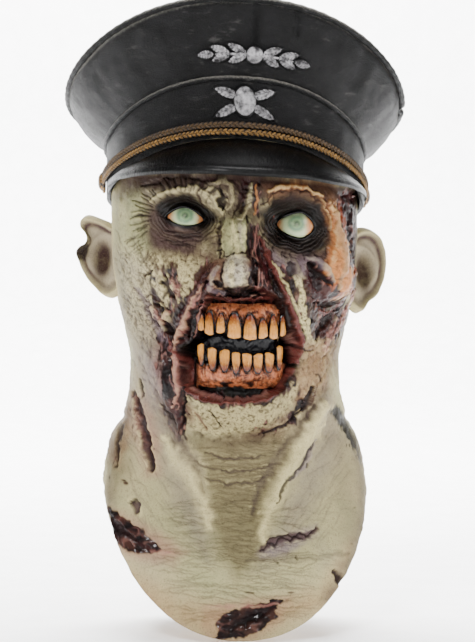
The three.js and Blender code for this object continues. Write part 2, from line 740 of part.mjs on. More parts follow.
// Two sprays of leaves on a stem, from a round boss.
function makeUpperBadge() {
  const stem = new THREE.BoxGeometry(0.86 * badgeWidth, badgeThick * 0.4, badgeThick * 0.45, 8, 1, 1);
  let badge = solidOf(stem.translate(0, pieceGap + badgeThick * 0.35, 0));
  badge = badge.add(knob(0.17 * badgeWidth, badgeThick, 0.17 * badgeWidth, 0, 0));
  for (const { x, long, tilt } of leafRows) {
    for (const side of [-1, 1]) {
      const rise = Math.sin(degrees(tilt)) * long * badgeWidth * 0.5;
      badge = badge.add(
        knob(long * badgeWidth, badgeThick * 0.6, badgeThick, side * x * badgeWidth, rise, side * tilt),
      );
    }
  }
  return bentOnCap(geometryFrom(badge), capRings.seam, capRings.rim, 0.3, badgeShift);
}

// A tall oval boss between four leaves.
function makeLowerBadge() {
  let badge = knob(0.72 * bossHeight, badgeThick * 1.4, bossHeight, 0, 0);
  for (const side of [-1, 1]) {
    for (const tilt of [-27, 22]) {
      const [x, rise] = [side * 0.5 * bossHeight, Math.sin(degrees(tilt)) * 0.62 * bossHeight];
      badge = badge.add(knob(0.9 * bossHeight, badgeThick * 0.8, 0.27 * bossHeight, x, rise, side * tilt));
    }
  }
  return bentOnCap(geometryFrom(badge), capRings.bandFoot, capRings.seam, 0.62, 0);
}

function finish(color, roughness, metalness = 0) {
  return new THREE.MeshStandardMaterial({ color, roughness, metalness });
}

const materials = {
  skin: finish(0xb9b795, 0.55),
  eye: finish(0xb9cfa8, 0.2),
  gum: finish(0xb0603f, 0.4),
  tooth: finish(0xcfa05c, 0.35),
  cap: finish(0x2b2a2e, 0.5),
  visor: finish(0x232227, 0.35),
  gold: finish(0x8c6a2e, 0.55, 0.2),
  silver: finish(0x8f8f93, 0.4, 0.5),
};

const mask = new THREE.Group();
function addPiece(name, geometry, material) {
  const mesh = new THREE.Mesh(geometry, materials[material]);
  mesh.name = name;
  mask.add(mesh);
}

addPiece("skin", makeSkin(), "skin");
addPiece("eye_left", makeEye(-1), "eye");
addPiece("eye_right", makeEye(1), "eye");
addPiece("upper_gum", makeGum(gumRows.upper), "gum");
addPiece("lower_gum", makeGum(gumRows.lower), "gum");
upperTeeth.forEach((row, k) => addPiece(`upper_tooth_${k + 1}`, makeTooth(row, false), "tooth"));
lowerTeeth.forEach((row, k) => addPiece(`lower_tooth_${k + 1}`, makeTooth(row, true), "tooth"));
addPiece("cap_band", makeBand(), "cap");
addPiece("cap_crown", makeCrown(), "cap");
addPiece("cap_piping", makePiping(capRings.rim, pipingRadius, 0), "cap");
addPiece("cap_seam_piping", makePiping(capRings.seam, seamRadius, 0), "cap");
addPiece("cap_visor", makeVisor(), "visor");
addPiece("cap_cord", makeCord(), "gold");
addPiece("cap_button_left", makeButton(-1), "gold");
addPiece("cap_button_right", makeButton(1), "gold");
addPiece("badge_upper", makeUpperBadge(), "silver");
addPiece("badge_lower", makeLowerBadge(), "silver");

export default mask;
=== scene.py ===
# A latex zombie mask with a peaked cap: the finish of every piece, laid over the fixed solid model.
# Metres and +Z up. Tables of places on the face are in pixels of the 475 x 642 photograph.
import math
import bpy
import numpy as np
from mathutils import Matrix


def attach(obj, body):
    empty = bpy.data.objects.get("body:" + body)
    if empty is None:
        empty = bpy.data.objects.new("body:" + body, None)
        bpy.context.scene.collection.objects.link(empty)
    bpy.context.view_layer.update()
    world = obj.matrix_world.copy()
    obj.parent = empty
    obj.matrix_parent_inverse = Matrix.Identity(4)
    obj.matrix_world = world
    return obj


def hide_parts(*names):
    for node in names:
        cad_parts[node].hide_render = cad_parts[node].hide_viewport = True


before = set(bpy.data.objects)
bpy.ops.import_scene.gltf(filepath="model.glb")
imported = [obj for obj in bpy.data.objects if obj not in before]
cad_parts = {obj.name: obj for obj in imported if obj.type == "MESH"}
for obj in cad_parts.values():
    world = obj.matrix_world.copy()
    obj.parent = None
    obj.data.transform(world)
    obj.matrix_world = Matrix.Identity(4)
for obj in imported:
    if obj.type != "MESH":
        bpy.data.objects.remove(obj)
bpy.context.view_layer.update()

# ---- Viewing place -------------------------------------------------------------------------------
# The camera stands level with the mouth, a little to the left, 1.7 m off, and its picture is upright.
camera_place = np.array([-0.1186, -1.6959, -0.193])
camera_turn = math.radians(4)
picture_scale = 2222  # pixels of the picture for each unit of slope
picture_middle = (234.5, 321)
picture_wide, picture_tall = 475, 642
to_right = np.array([math.cos(camera_turn), -math.sin(camera_turn), 0])
to_front = np.array([math.sin(camera_turn), math.cos(camera_turn), 0])

lens = bpy.data.cameras.new("studio_camera")
lens.sensor_fit = "VERTICAL"
lens.sensor_height = 36
lens.lens = lens.sensor_height * picture_scale / picture_tall
lens.shift_x = (picture_wide / 2 - picture_middle[0]) / picture_tall
camera = bpy.data.objects.new("studio_camera", lens)
camera.location = camera_place
camera.rotation_euler = (math.pi / 2, 0, -camera_turn)
bpy.context.collection.objects.link(camera)
bpy.context.scene.camera = camera


def in_picture(points):
    """Where each point falls in the picture, in pixels."""
    away = points - camera_place
    depth = away @ to_front
    across = picture_middle[0] + picture_scale * (away @ to_right) / depth
    return np.stack([across, picture_middle[1] - picture_scale * away[:, 2] / depth], axis=1)


# ---- Skin casting --------------------------------------------------------------------------------
# One hollow latex casting of head, neck and chest flap, thin-walled and open below, air-brushed in
# many thin coats over sculpted wounds. It goes over the wearer's head, which holds it up.
mm = 0.001
head_height, head_width, fore_depth, back_depth = 268, 188, 98, 108
bib_drop, bib_width, bib_fore, bib_back = 160, 201, 88, 96
latex_wall, dome_drop, section_power = 2.6, 90, 2.2
eye_drop, mouth_drop, mouth_depth = 123, 213, 18
lean_slope = math.tan(math.radians(3))
front_crowding = 0.36
head_rows = [  # drop, width, fore, back
    (0.336, 1.0, 1.0, 1.0),
    (0.448, 1.0, 0.96, 1.0),
    (0.56, 0.99, 0.94, 0.97),
    (0.672, 0.945, 0.95, 0.91),
    (0.765, 0.885, 0.94, 0.83),
    (0.84, 0.845, 0.91, 0.79),
    (0.92, 0.855, 0.83, 0.76),
    (1.0, 0.905, 0.66, 0.74),
]
bib_rows = [  # down, width, fore, back
    (0, 0, 0, 0),
    (0.12, 0.27, -0.46, -0.05),
    (0.3, 0.59, -0.5, 0.12),
    (0.6, 0.83, 0.06, 0.5),
    (1, 1, 1, 1),
]
swellings = [  # x, level, to x, to level, spread, lift
    (-0.32, -0.223, -0.105, -0.277, 0.037, 0.06),
    (0.105, -0.277, 0.32, -0.223, 0.037, 0.06),
    (-0.255, -0.012, -0.165, -0.012, 0.064, -0.155),
    (0.165, 0.003, 0.265, 0.003, 0.069, -0.165),
    (0, 0.057, 0, 0.331, 0.037, 0.15),
    (-0.012, 0.414, -0.012, 0.465, 0.045, 0.2),
    (-0.085, 0.441, -0.085, 0.471, 0.034, 0.1),
    (0.07, 0.42, 0.075, 0.494, 0.028, 0.04),
    (-0.335, 0.277, -0.25, 0.39, 0.062, 0.06),
    (0.34, 0.021, 0.37, 0.465, 0.05, 0.09),
    (-0.35, 0.688, -0.32, 1.045, 0.058, -0.045),
    (0.35, 0.688, 0.32, 1.045, 0.058, -0.045),
    (-0.13, 0.584, 0.13, 0.584, 0.035, 0.05),
    (-0.09, 1.528, 0.09, 1.528, 0.05, 0.11),
    (-0.34, 1.075, -0.14, 2.278, 0.03, 0.065),
    (0.306, 1.519, 0.077, 2.463, 0.03, 0.065),
]


def ease(low, high, value):
    """A smooth step from 0 at low to 1 at high."""
    share = np.clip((value - low) / (high - low), 0, 1)
    return share * share * (3 - 2 * share)


def smooth_row(rows, column, at):
    """The value of a table's column at a place, on a curve that never overshoots its rows."""
    places = np.array([row[0] for row in rows], float)
    values = np.array([row[column] for row in rows], float)
    slope = np.diff(values) / np.diff(places)
    tangent = np.zeros(len(values))
    before, after = slope[:-1], slope[1:]
    same = before * after > 0
    tangent[1:-1][same] = (2 * before * after)[same] / (before + after)[same]
    at = np.clip(at, places[0], places[-1])
    i = np.clip(np.searchsorted(places, at, side="right") - 1, 0, len(slope) - 1)
    span = places[i + 1] - places[i]
    t = (at - places[i]) / span
    straight = values[i] + (values[i + 1] - values[i]) * t
    pull = t * (1 - t) * span
    return straight + pull * ((1 - t) * (tangent[i] - slope[i]) - t * (tangent[i + 1] - slope[i]))


def head_section(drop):
    """Half width, reach forward and reach back of the head at a drop from its top."""
    place = np.maximum(drop, dome_drop) / head_height
    up = np.maximum(0, 1 - drop / dome_drop)
    dome = (1 - up**2.2) ** (1 / 2.2)
    return (
        dome * smooth_row(head_rows, 1, place) * head_width / 2,
        dome * smooth_row(head_rows, 2, place) * fore_depth,
        dome * smooth_row(head_rows, 3, place) * back_depth,
    )


def skin_section(drop, down):
    """The same, and past the chin down is the share of the way to the rim."""
    head = head_section(drop)
    foot = head_section(np.full_like(drop, head_height))
    bib = [
        start + (end - start) * smooth_row(bib_rows, column + 1, down)
        for column, (start, end) in enumerate(zip(foot, (bib_width / 2, bib_fore, bib_back)))
    ]
    return [np.where(down > 0, below, above) for below, above in zip(bib, head)]


def on_section(section, angle):
    """Across and back of a rounded section's edge. Angle 0 is the front."""
    across = np.sign(np.sin(angle)) * np.abs(np.sin(angle)) ** (2 / section_power)
    forward = np.sign(np.cos(angle)) * np.abs(np.cos(angle)) ** (2 / section_power)
    return across * section[0], -forward * np.where(forward > 0, section[1], section[2])


def rim_drop(angle):
    fore = np.maximum(np.cos(angle), 0) ** 1.15
    aft = np.maximum(-np.cos(angle), 0) ** 2
    return head_height + bib_drop * (0.3 + 0.7 * fore + 0.15 * aft)


def lean_at(x, drop):
    return x * lean_slope * smooth_row([(0.5, 1), (0.8, 0.2), (1, 0)], 1, drop / head_height)


def to_line(x, y, start, end):
    """Distance from each place to a straight line between two points, and the share along it."""
    run = (end[0] - start[0], end[1] - start[1])
    length = max(run[0] ** 2 + run[1] ** 2, 1e-9)
    share = np.clip(((x - start[0]) * run[0] + (y - start[1]) * run[1]) / length, 0, 1)
    return np.hypot(x - start[0] - share * run[0], y - start[1] - share * run[1]), share


def mouth_dent(x, drop):
    across = np.abs(x / 43.5) ** 2.6 + np.abs((drop - mouth_drop) / 42) ** 2.6
    return mouth_depth * (1 - ease(0.8, 1.06, across ** (1 / 2.6)))


def face_lift(x, drop, dent=mouth_dent):
    """How far the big forms of the face stand out of the plain section."""
    total = -dent(x, drop)
    for at, level, to_at, to_level, spread, lift in swellings:
        start = (at * head_width, eye_drop + level * (mouth_drop - eye_drop))
        end = (to_at * head_width, eye_drop + to_level * (mouth_drop - eye_drop))
        away = to_line(x, drop, start, end)[0] / (spread * head_width)
        total = total + lift * fore_depth * np.exp(-away * away / 2)
    return total


def skin_places(angle, drop, down, lift):
    """Points of the skin's outside in millimetres, and the direction outward in plan."""
    deep = np.where(down > 0, head_height + down * (rim_drop(angle) - head_height), drop)
    x, y = on_section(skin_section(drop, down), angle)
    size = np.maximum(np.hypot(x, y), 1e-6)
    outward = np.stack([x / size, y / size, np.zeros_like(x)], axis=-1)
    height = latex_wall - deep - lean_at(x, deep)
    push = lift(x, deep) * ease(-0.1, 0.35, np.cos(angle))
    return np.stack([x, y, height], axis=-1) + outward * push[..., None], outward


rng = np.random.default_rng(12)
lattice = rng.random((32, 32, 32))
skewed = np.array([[0.36, 0.48, -0.8], [-0.8, 0.6, 0.0],
    [0.48, 0.64, 0.6]])  # no bumps lined up with the axes


def cloud(points, size):
    """Smooth seeded noise from -1 to 1 over points, with bumps of about that size."""
    at = (points @ skewed) / size
    cell = np.floor(at).astype(int)
    t = at - cell
    t = t * t * (3 - 2 * t)
    total = 0
    for corner in np.ndindex(2, 2, 2):
        weight = np.prod(np.where(corner, t, 1 - t), axis=-1)
        i, j, k = np.moveaxis((cell + corner) % 32, -1, 0)
        total = total + weight * lattice[i, j, k]
    return 2 * total - 1


column_count, neck_count = 480, 236
share_round = 2 * np.arange(column_count) / column_count - 1
column_angle = math.pi * share_round * (front_crowding + (1 - front_crowding) * np.abs(share_round) ** 1.5)
dome_drops = np.array([0.5, 2, 6, 12, 20, 30, 42, 50, 56])
head_drops = np.concatenate([dome_drops, np.linspace(58, 94, 12), np.linspace(94.6, head_height, 290)])
row_drop = np.concatenate([head_drops, np.full(neck_count, head_height)])
row_down = np.concatenate([np.zeros(len(head_drops)), np.arange(1, neck_count + 1) / neck_count])
angle, drop = np.meshgrid(column_angle, row_drop)
down = np.meshgrid(column_angle, row_down)[1]

# The mouth's own torn opening stands in for the plain round dent of the solid.
mouth_edge = [
    (206, 294), (222, 288), (245, 287), (268, 290), (282, 300), (288, 321), (299, 336), (302, 349), (298,
     364),
    (291, 378), (285, 390), (262, 398), (240, 402), (210, 400), (188, 391), (179, 385), (177, 365), (181,
     347),
    (194, 336), (199, 318),
]


def to_path(x, y, path, closed=False):
    """Distance in pixels to a path, and the share along it of the nearest point."""
    pairs = list(zip(path, path[1:] + path[:1] if closed else path[1:]))
    lengths = [math.dist(a, b) for a, b in pairs]
    nearest = np.full(x.shape, 1e9)
    along = np.zeros(x.shape)
    for k, (a, b) in enumerate(pairs):
        away, share = to_line(x, y, a, b)
        closer = away < nearest
        nearest = np.where(closer, away, nearest)
        along = np.where(closer, (sum(lengths[:k]) + share * lengths[k]) / max(sum(lengths), 1e-9), along)
    return nearest, along


def inside_of(x, y, path):
    """Distance in pixels to the edge of a closed outline, positive inside it."""
    away, _ = to_path(x, y, path, closed=True)
    odd = np.zeros(x.shape, bool)
    for (ax, ay), (bx, by) in zip(path, path[1:] + path[:1]):
        if ay != by:
            odd ^= ((ay > y) != (by > y)) & (x < (bx - ax) * (y - ay) / (by - ay) + ax)
    return np.where(odd, away, -away)


plain, outward = skin_places(angle, drop, down, lambda x, deep: face_lift(x, deep, lambda x, deep: 0 * x))
flat_plain = plain.reshape(-1, 3)
outward = outward.reshape(-1, 3)
seen = in_picture(flat_plain * mm)
facing = ease(-0.02, 0.3, np.cos(angle)).reshape(-1)
ragged = np.stack([cloud(flat_plain, 5), cloud(flat_plain + 90, 5)], 1) * 2.2
ragged += np.stack([cloud(flat_plain + 40, 2), cloud(flat_plain + 130, 2)], 1) * 1.1
px, py = (seen + ragged * 0.5).T
torn_x, torn_y = (seen + ragged).T


def tone(red, green, blue):
    """The paint that looks like a screen colour once lit: richer and darker, as studio light pales it."""
    share = np.array([red, green, blue]) / 255
    light = np.where(share <= 0.04045, share / 12.92, ((share + 0.055) / 1.055) ** 2.4)
    grey = max(float(light @ (0.2126, 0.7152, 0.0722)), 1e-4)
    return np.clip(grey**1.5 * (light / grey) ** 1.15, 0, 1)


tones = {
    "pale": tone(190, 179, 140),
    "greenish": tone(172, 176, 130),
    "violet": tone(140, 124, 136),
    "shade": tone(112, 98, 92),
    "cream": tone(212, 200, 150),
    "tan": tone(184, 150, 112),
    "bone": tone(204, 138, 84),
    "orange": tone(172, 84, 36),
    "pink": tone(178, 124, 116),
    "flesh": tone(130, 68, 62),
    "blood": tone(84, 28, 32),
    "maroon": tone(52, 16, 24),
    "brown": tone(80, 52, 50),
    "nose": tone(180, 172, 154),
    "bag": tone(102, 76, 80),
    "brow": tone(160, 150, 124),
    "olive": tone(126, 116, 86),
    "raw": tone(206, 176, 134),
    "black": tone(9, 6, 8),
    "blue": tone(36, 38, 52),
}

# Areas, in the order they are sprayed: tone, cover, soft edge, lift in mm, wetness, outline in pixels.
areas = [
    # brown wash and painted shade round both eye sockets
    ("brown", 0.6, 12, 0, 0, [(124, 170), (240, 168), (360, 182), (352, 250), (320, 268), (270, 264),
     (248, 226), (236, 216), (216, 240), (192, 264), (146, 262), (132, 230)]),
    ("bag", 0.5, 12, 0, 0, [(142, 258), (204, 256), (194, 296), (168, 344), (148, 330), (140, 290)]),
    ("brown", 0.3, 14, 0, 0, [(126, 300), (160, 300), (182, 440), (150, 440), (128, 380)]),
    ("bag", 0.55, 10, 0, 0, [(262, 246), (326, 256), (324, 345), (302, 340), (282, 290), (262, 262)]),
    ("brown", 0.45, 12, 0, 0, [(156, 340), (184, 345), (186, 438), (240, 446), (300, 420), (304, 350),
     (332, 340), (326, 395), (286, 440), (236, 456), (184, 448), (158, 400)]),
    ("greenish", 0.5, 12, 0, 0, [(92, 190), (140, 190), (150, 230), (150, 290), (120, 400), (112, 330),
     (100, 260)]),
    ("cream", 0.35, 14, 0, 0, [(120, 250), (150, 262), (168, 300), (150, 345), (125, 330)]),
    ("brow", 0.7, 8, 0, 0, [(138, 178), (180, 168), (226, 172), (236, 190), (226, 214), (203, 206),
     (173, 195), (148, 204)]),
    ("bag", 0.8, 7, 0, 0, [(143, 214), (150, 204), (173, 212), (205, 224), (207, 236), (190, 250),
     (165, 252), (148, 243)]),
    ("black", 0.97, 3, -1, 0.4, [(155, 205), (173, 194), (190, 194), (204, 204), (219, 217), (210, 225),
     (193, 229), (172, 227), (158, 215)]),
    ("bone", 0.6, 6, 0, 0, [(262, 184), (300, 178), (336, 184), (345, 215), (328, 206), (310, 196),
     (290, 192), (270, 199)]),
    ("black", 0.97, 3, -1, 0.4, [(262, 214), (274, 199), (294, 194), (312, 199), (326, 214), (329, 230),
     (326, 245), (308, 256), (288, 251), (272, 243), (262, 227)]),
    ("bone", 0.95, 3, 2, 0.2, [(321, 200), (334, 200), (342, 226), (354, 258), (353, 288), (338, 304),
     (322, 300), (318, 280), (328, 258), (331, 235)]),
    ("maroon", 0.85, 3, -2.5, 0.3, [(342, 192), (360, 192), (362, 240), (359, 276), (352, 262), (343, 226),
     (336, 203)]),
    # black painted shadow in a strip right under the visor
    ("black", 0.75, 6, -1, 0, [(132, 172), (240, 172), (362, 186), (362, 200), (320, 190), (262, 186),
     (200, 184), (140, 188)]),
    ("greenish", 0.6, 6, 0, 0, [(222, 219), (248, 219), (251, 253), (221, 253)]),
    # painted shadow of the visor over brown paint on the brow
    ("brown", 0.8, 8, -1, 0, [(112, 172), (150, 168), (240, 170), (340, 186), (362, 200), (340, 204),
     (250, 196), (200, 190), (150, 190), (118, 196)]),
    ("flesh", 0.75, 4, -0.6, 0.35, [(206, 268), (222, 256), (250, 256), (258, 290), (284, 302), (268, 304),
     (240, 300), (200, 303)]),
    ("nose", 0.95, 4.5, 2.4, 0.12, [(228, 255), (238, 252), (246, 258), (249, 272), (247, 286), (238, 294),
     (229, 291), (224, 280), (224, 266)]),
    ("maroon", 0.95, 3, -3.5, 0.6, [(250, 226), (256, 227), (262, 245), (271, 262), (273, 287), (264, 294),
     (250, 292), (254, 270), (247, 249)]),
    ("violet", 0.5, 8, 0, 0, [(262, 246), (285, 256), (312, 258), (320, 276), (300, 282), (278, 276),
     (266, 262)]),
    ("cream", 0.75, 6, 0.4, 0, [(276, 284), (300, 276), (315, 290), (322, 315), (316, 345), (304, 336),
     (294, 312)]),
    ("cream", 0.5, 9, 0, 0, [(148, 255), (176, 256), (204, 262), (190, 300), (176, 316), (158, 300),
     (146, 280)]),
    ("orange", 0.85, 4, 1, 0.9, [(306, 282), (322, 280), (338, 284), (340, 295), (326, 305), (310, 303)]),
    ("maroon", 0.7, 5, -1, 0.4, [(318, 304), (345, 298), (352, 310), (336, 336), (318, 338), (314, 322)]),
    ("tan", 0.5, 8, 0, 0, [(298, 345), (322, 336), (334, 345), (326, 385), (300, 410), (288, 396)]),
    ("cream", 0.75, 5, 0.6, 0, [(194, 398), (214, 404), (250, 404), (281, 395), (297, 383), (292, 405),
     (268, 426), (240, 435), (215, 436), (195, 428)]),
    ("brown", 0.6, 7, -1, 0, [(200, 436), (240, 438), (270, 430), (262, 446), (236, 452), (212, 448)]),
    ("pink", 0.45, 7, 0, 0, [(160, 332), (176, 338), (178, 386), (172, 430), (156, 400), (152, 360)]),
    ("greenish", 0.3, 20, 0, 0, [(150, 440), (240, 500), (330, 440), (350, 560), (240, 620), (130, 540)]),
    # olive painted shade under the chin, and violet painted shade down both sides of the neck
    ("olive", 0.8, 12, -2, 0, [(196, 444), (240, 450), (286, 440), (300, 452), (270, 500), (262, 560),
     (236, 580), (214, 540), (206, 500)]),
    ("violet", 0.5, 14, -1.5, 0, [(146, 370), (164, 410), (190, 460), (206, 500), (206, 560), (180, 520),
     (160, 470), (146, 420)]),
    ("violet", 0.45, 14, -1, 0, [(330, 400), (318, 440), (286, 500), (266, 560), (282, 560), (320, 500),
     (344, 440)]),
    ("olive", 0.3, 16, 0, 0, [(110, 390), (160, 392), (200, 440), (290, 440), (330, 402), (366, 470),
     (360, 540), (300, 560), (200, 560), (112, 540)]),
    ("brown", 0.35, 6, 0, 0, [(192, 398), (240, 404), (298, 380), (290, 408), (262, 430), (236, 438),
     (194, 430)]),
    ("violet", 0.7, 4, 0.4, 0.1, [(258, 554), (268, 540), (290, 534), (318, 525), (318, 534), (302, 546),
     (284, 554), (262, 558)]),
    ("pink", 0.55, 8, 0, 0, [(108, 506), (150, 528), (186, 552), (172, 564), (130, 558), (110, 546)]),
    ("pink", 0.5, 7, 0, 0, [(204, 608), (250, 598), (290, 598), (280, 622), (250, 642), (206, 644)]),
    ("tan", 0.6, 5, 0, 0, [(104, 394), (126, 382), (132, 430), (118, 470), (102, 450)]),
    ("pink", 0.5, 8, 0, 0, [(128, 390), (142, 394), (158, 440), (160, 476), (146, 476), (134, 436)]),
    ("maroon", 0.85, 2.5, -1.4, 0.4, [(132, 396), (139, 398), (147, 430), (154, 464), (149, 470),
     (140, 440)]),
    # violet painted shade down the left side of the face
    ("violet", 0.4, 14, 0, 0, [(112, 250), (150, 262), (160, 330), (172, 400), (140, 404), (118, 340)]),
    ("brown", 0.45, 6, 0, 0, [(104, 392), (126, 380), (130, 420), (116, 462), (104, 446)]),
    ("tan", 0.65, 14, 0, 0, [(112, 560), (180, 600), (240, 610), (320, 590), (352, 545), (340, 600),
     (240, 645), (140, 620)]),
    ("shade", 0.7, 8, 0, 0, [(104, 400), (118, 400), (112, 470), (118, 560), (150, 612), (136, 616),
     (106, 560), (100, 470)]),
    ("shade", 0.7, 8, 0, 0, [(352, 430), (372, 470), (374, 500), (360, 560), (330, 606), (322, 600),
     (350, 550), (362, 500)]),
    ("shade", 0.5, 12, 0, 0, [(112, 190), (122, 190), (120, 260), (124, 330), (128, 380), (116, 380),
     (112, 300)]),
    ("brown", 0.5, 10, 0, 0, [(106, 400), (124, 380), (132, 400), (130, 470), (112, 500), (104, 450)]),
    ("shade", 0.35, 12, 0, 0, [(330, 405), (372, 460), (372, 500), (345, 560), (330, 470)]),
    ("black", 0.95, 2, -2, 0.7, [(178, 332), (196, 320), (202, 344), (188, 358), (176, 352)]),
    ("black", 0.95, 2, -4, 0.7, [(188, 318), (200, 298), (206, 312), (198, 338), (186, 348), (176, 340)]),
    ("black", 0.95, 2, -4, 0.7, [(280, 298), (290, 320), (301, 342), (301, 362), (288, 386), (284, 350),
     (282, 320)]),
    # black painted shadow along the far edge of the neck
    ("black", 0.95, 2, -1, 0.3, [(336, 402), (356, 428), (374, 470), (367, 476), (350, 440), (331, 412)]),
    ("black", 0.98, 2.5, 0, 0.75, mouth_edge),
    ("blue", 0.8, 3, 3, 0.95, [(192, 336), (240, 338), (288, 334), (286, 350), (262, 356), (214, 354),
     (194, 350)]),
]

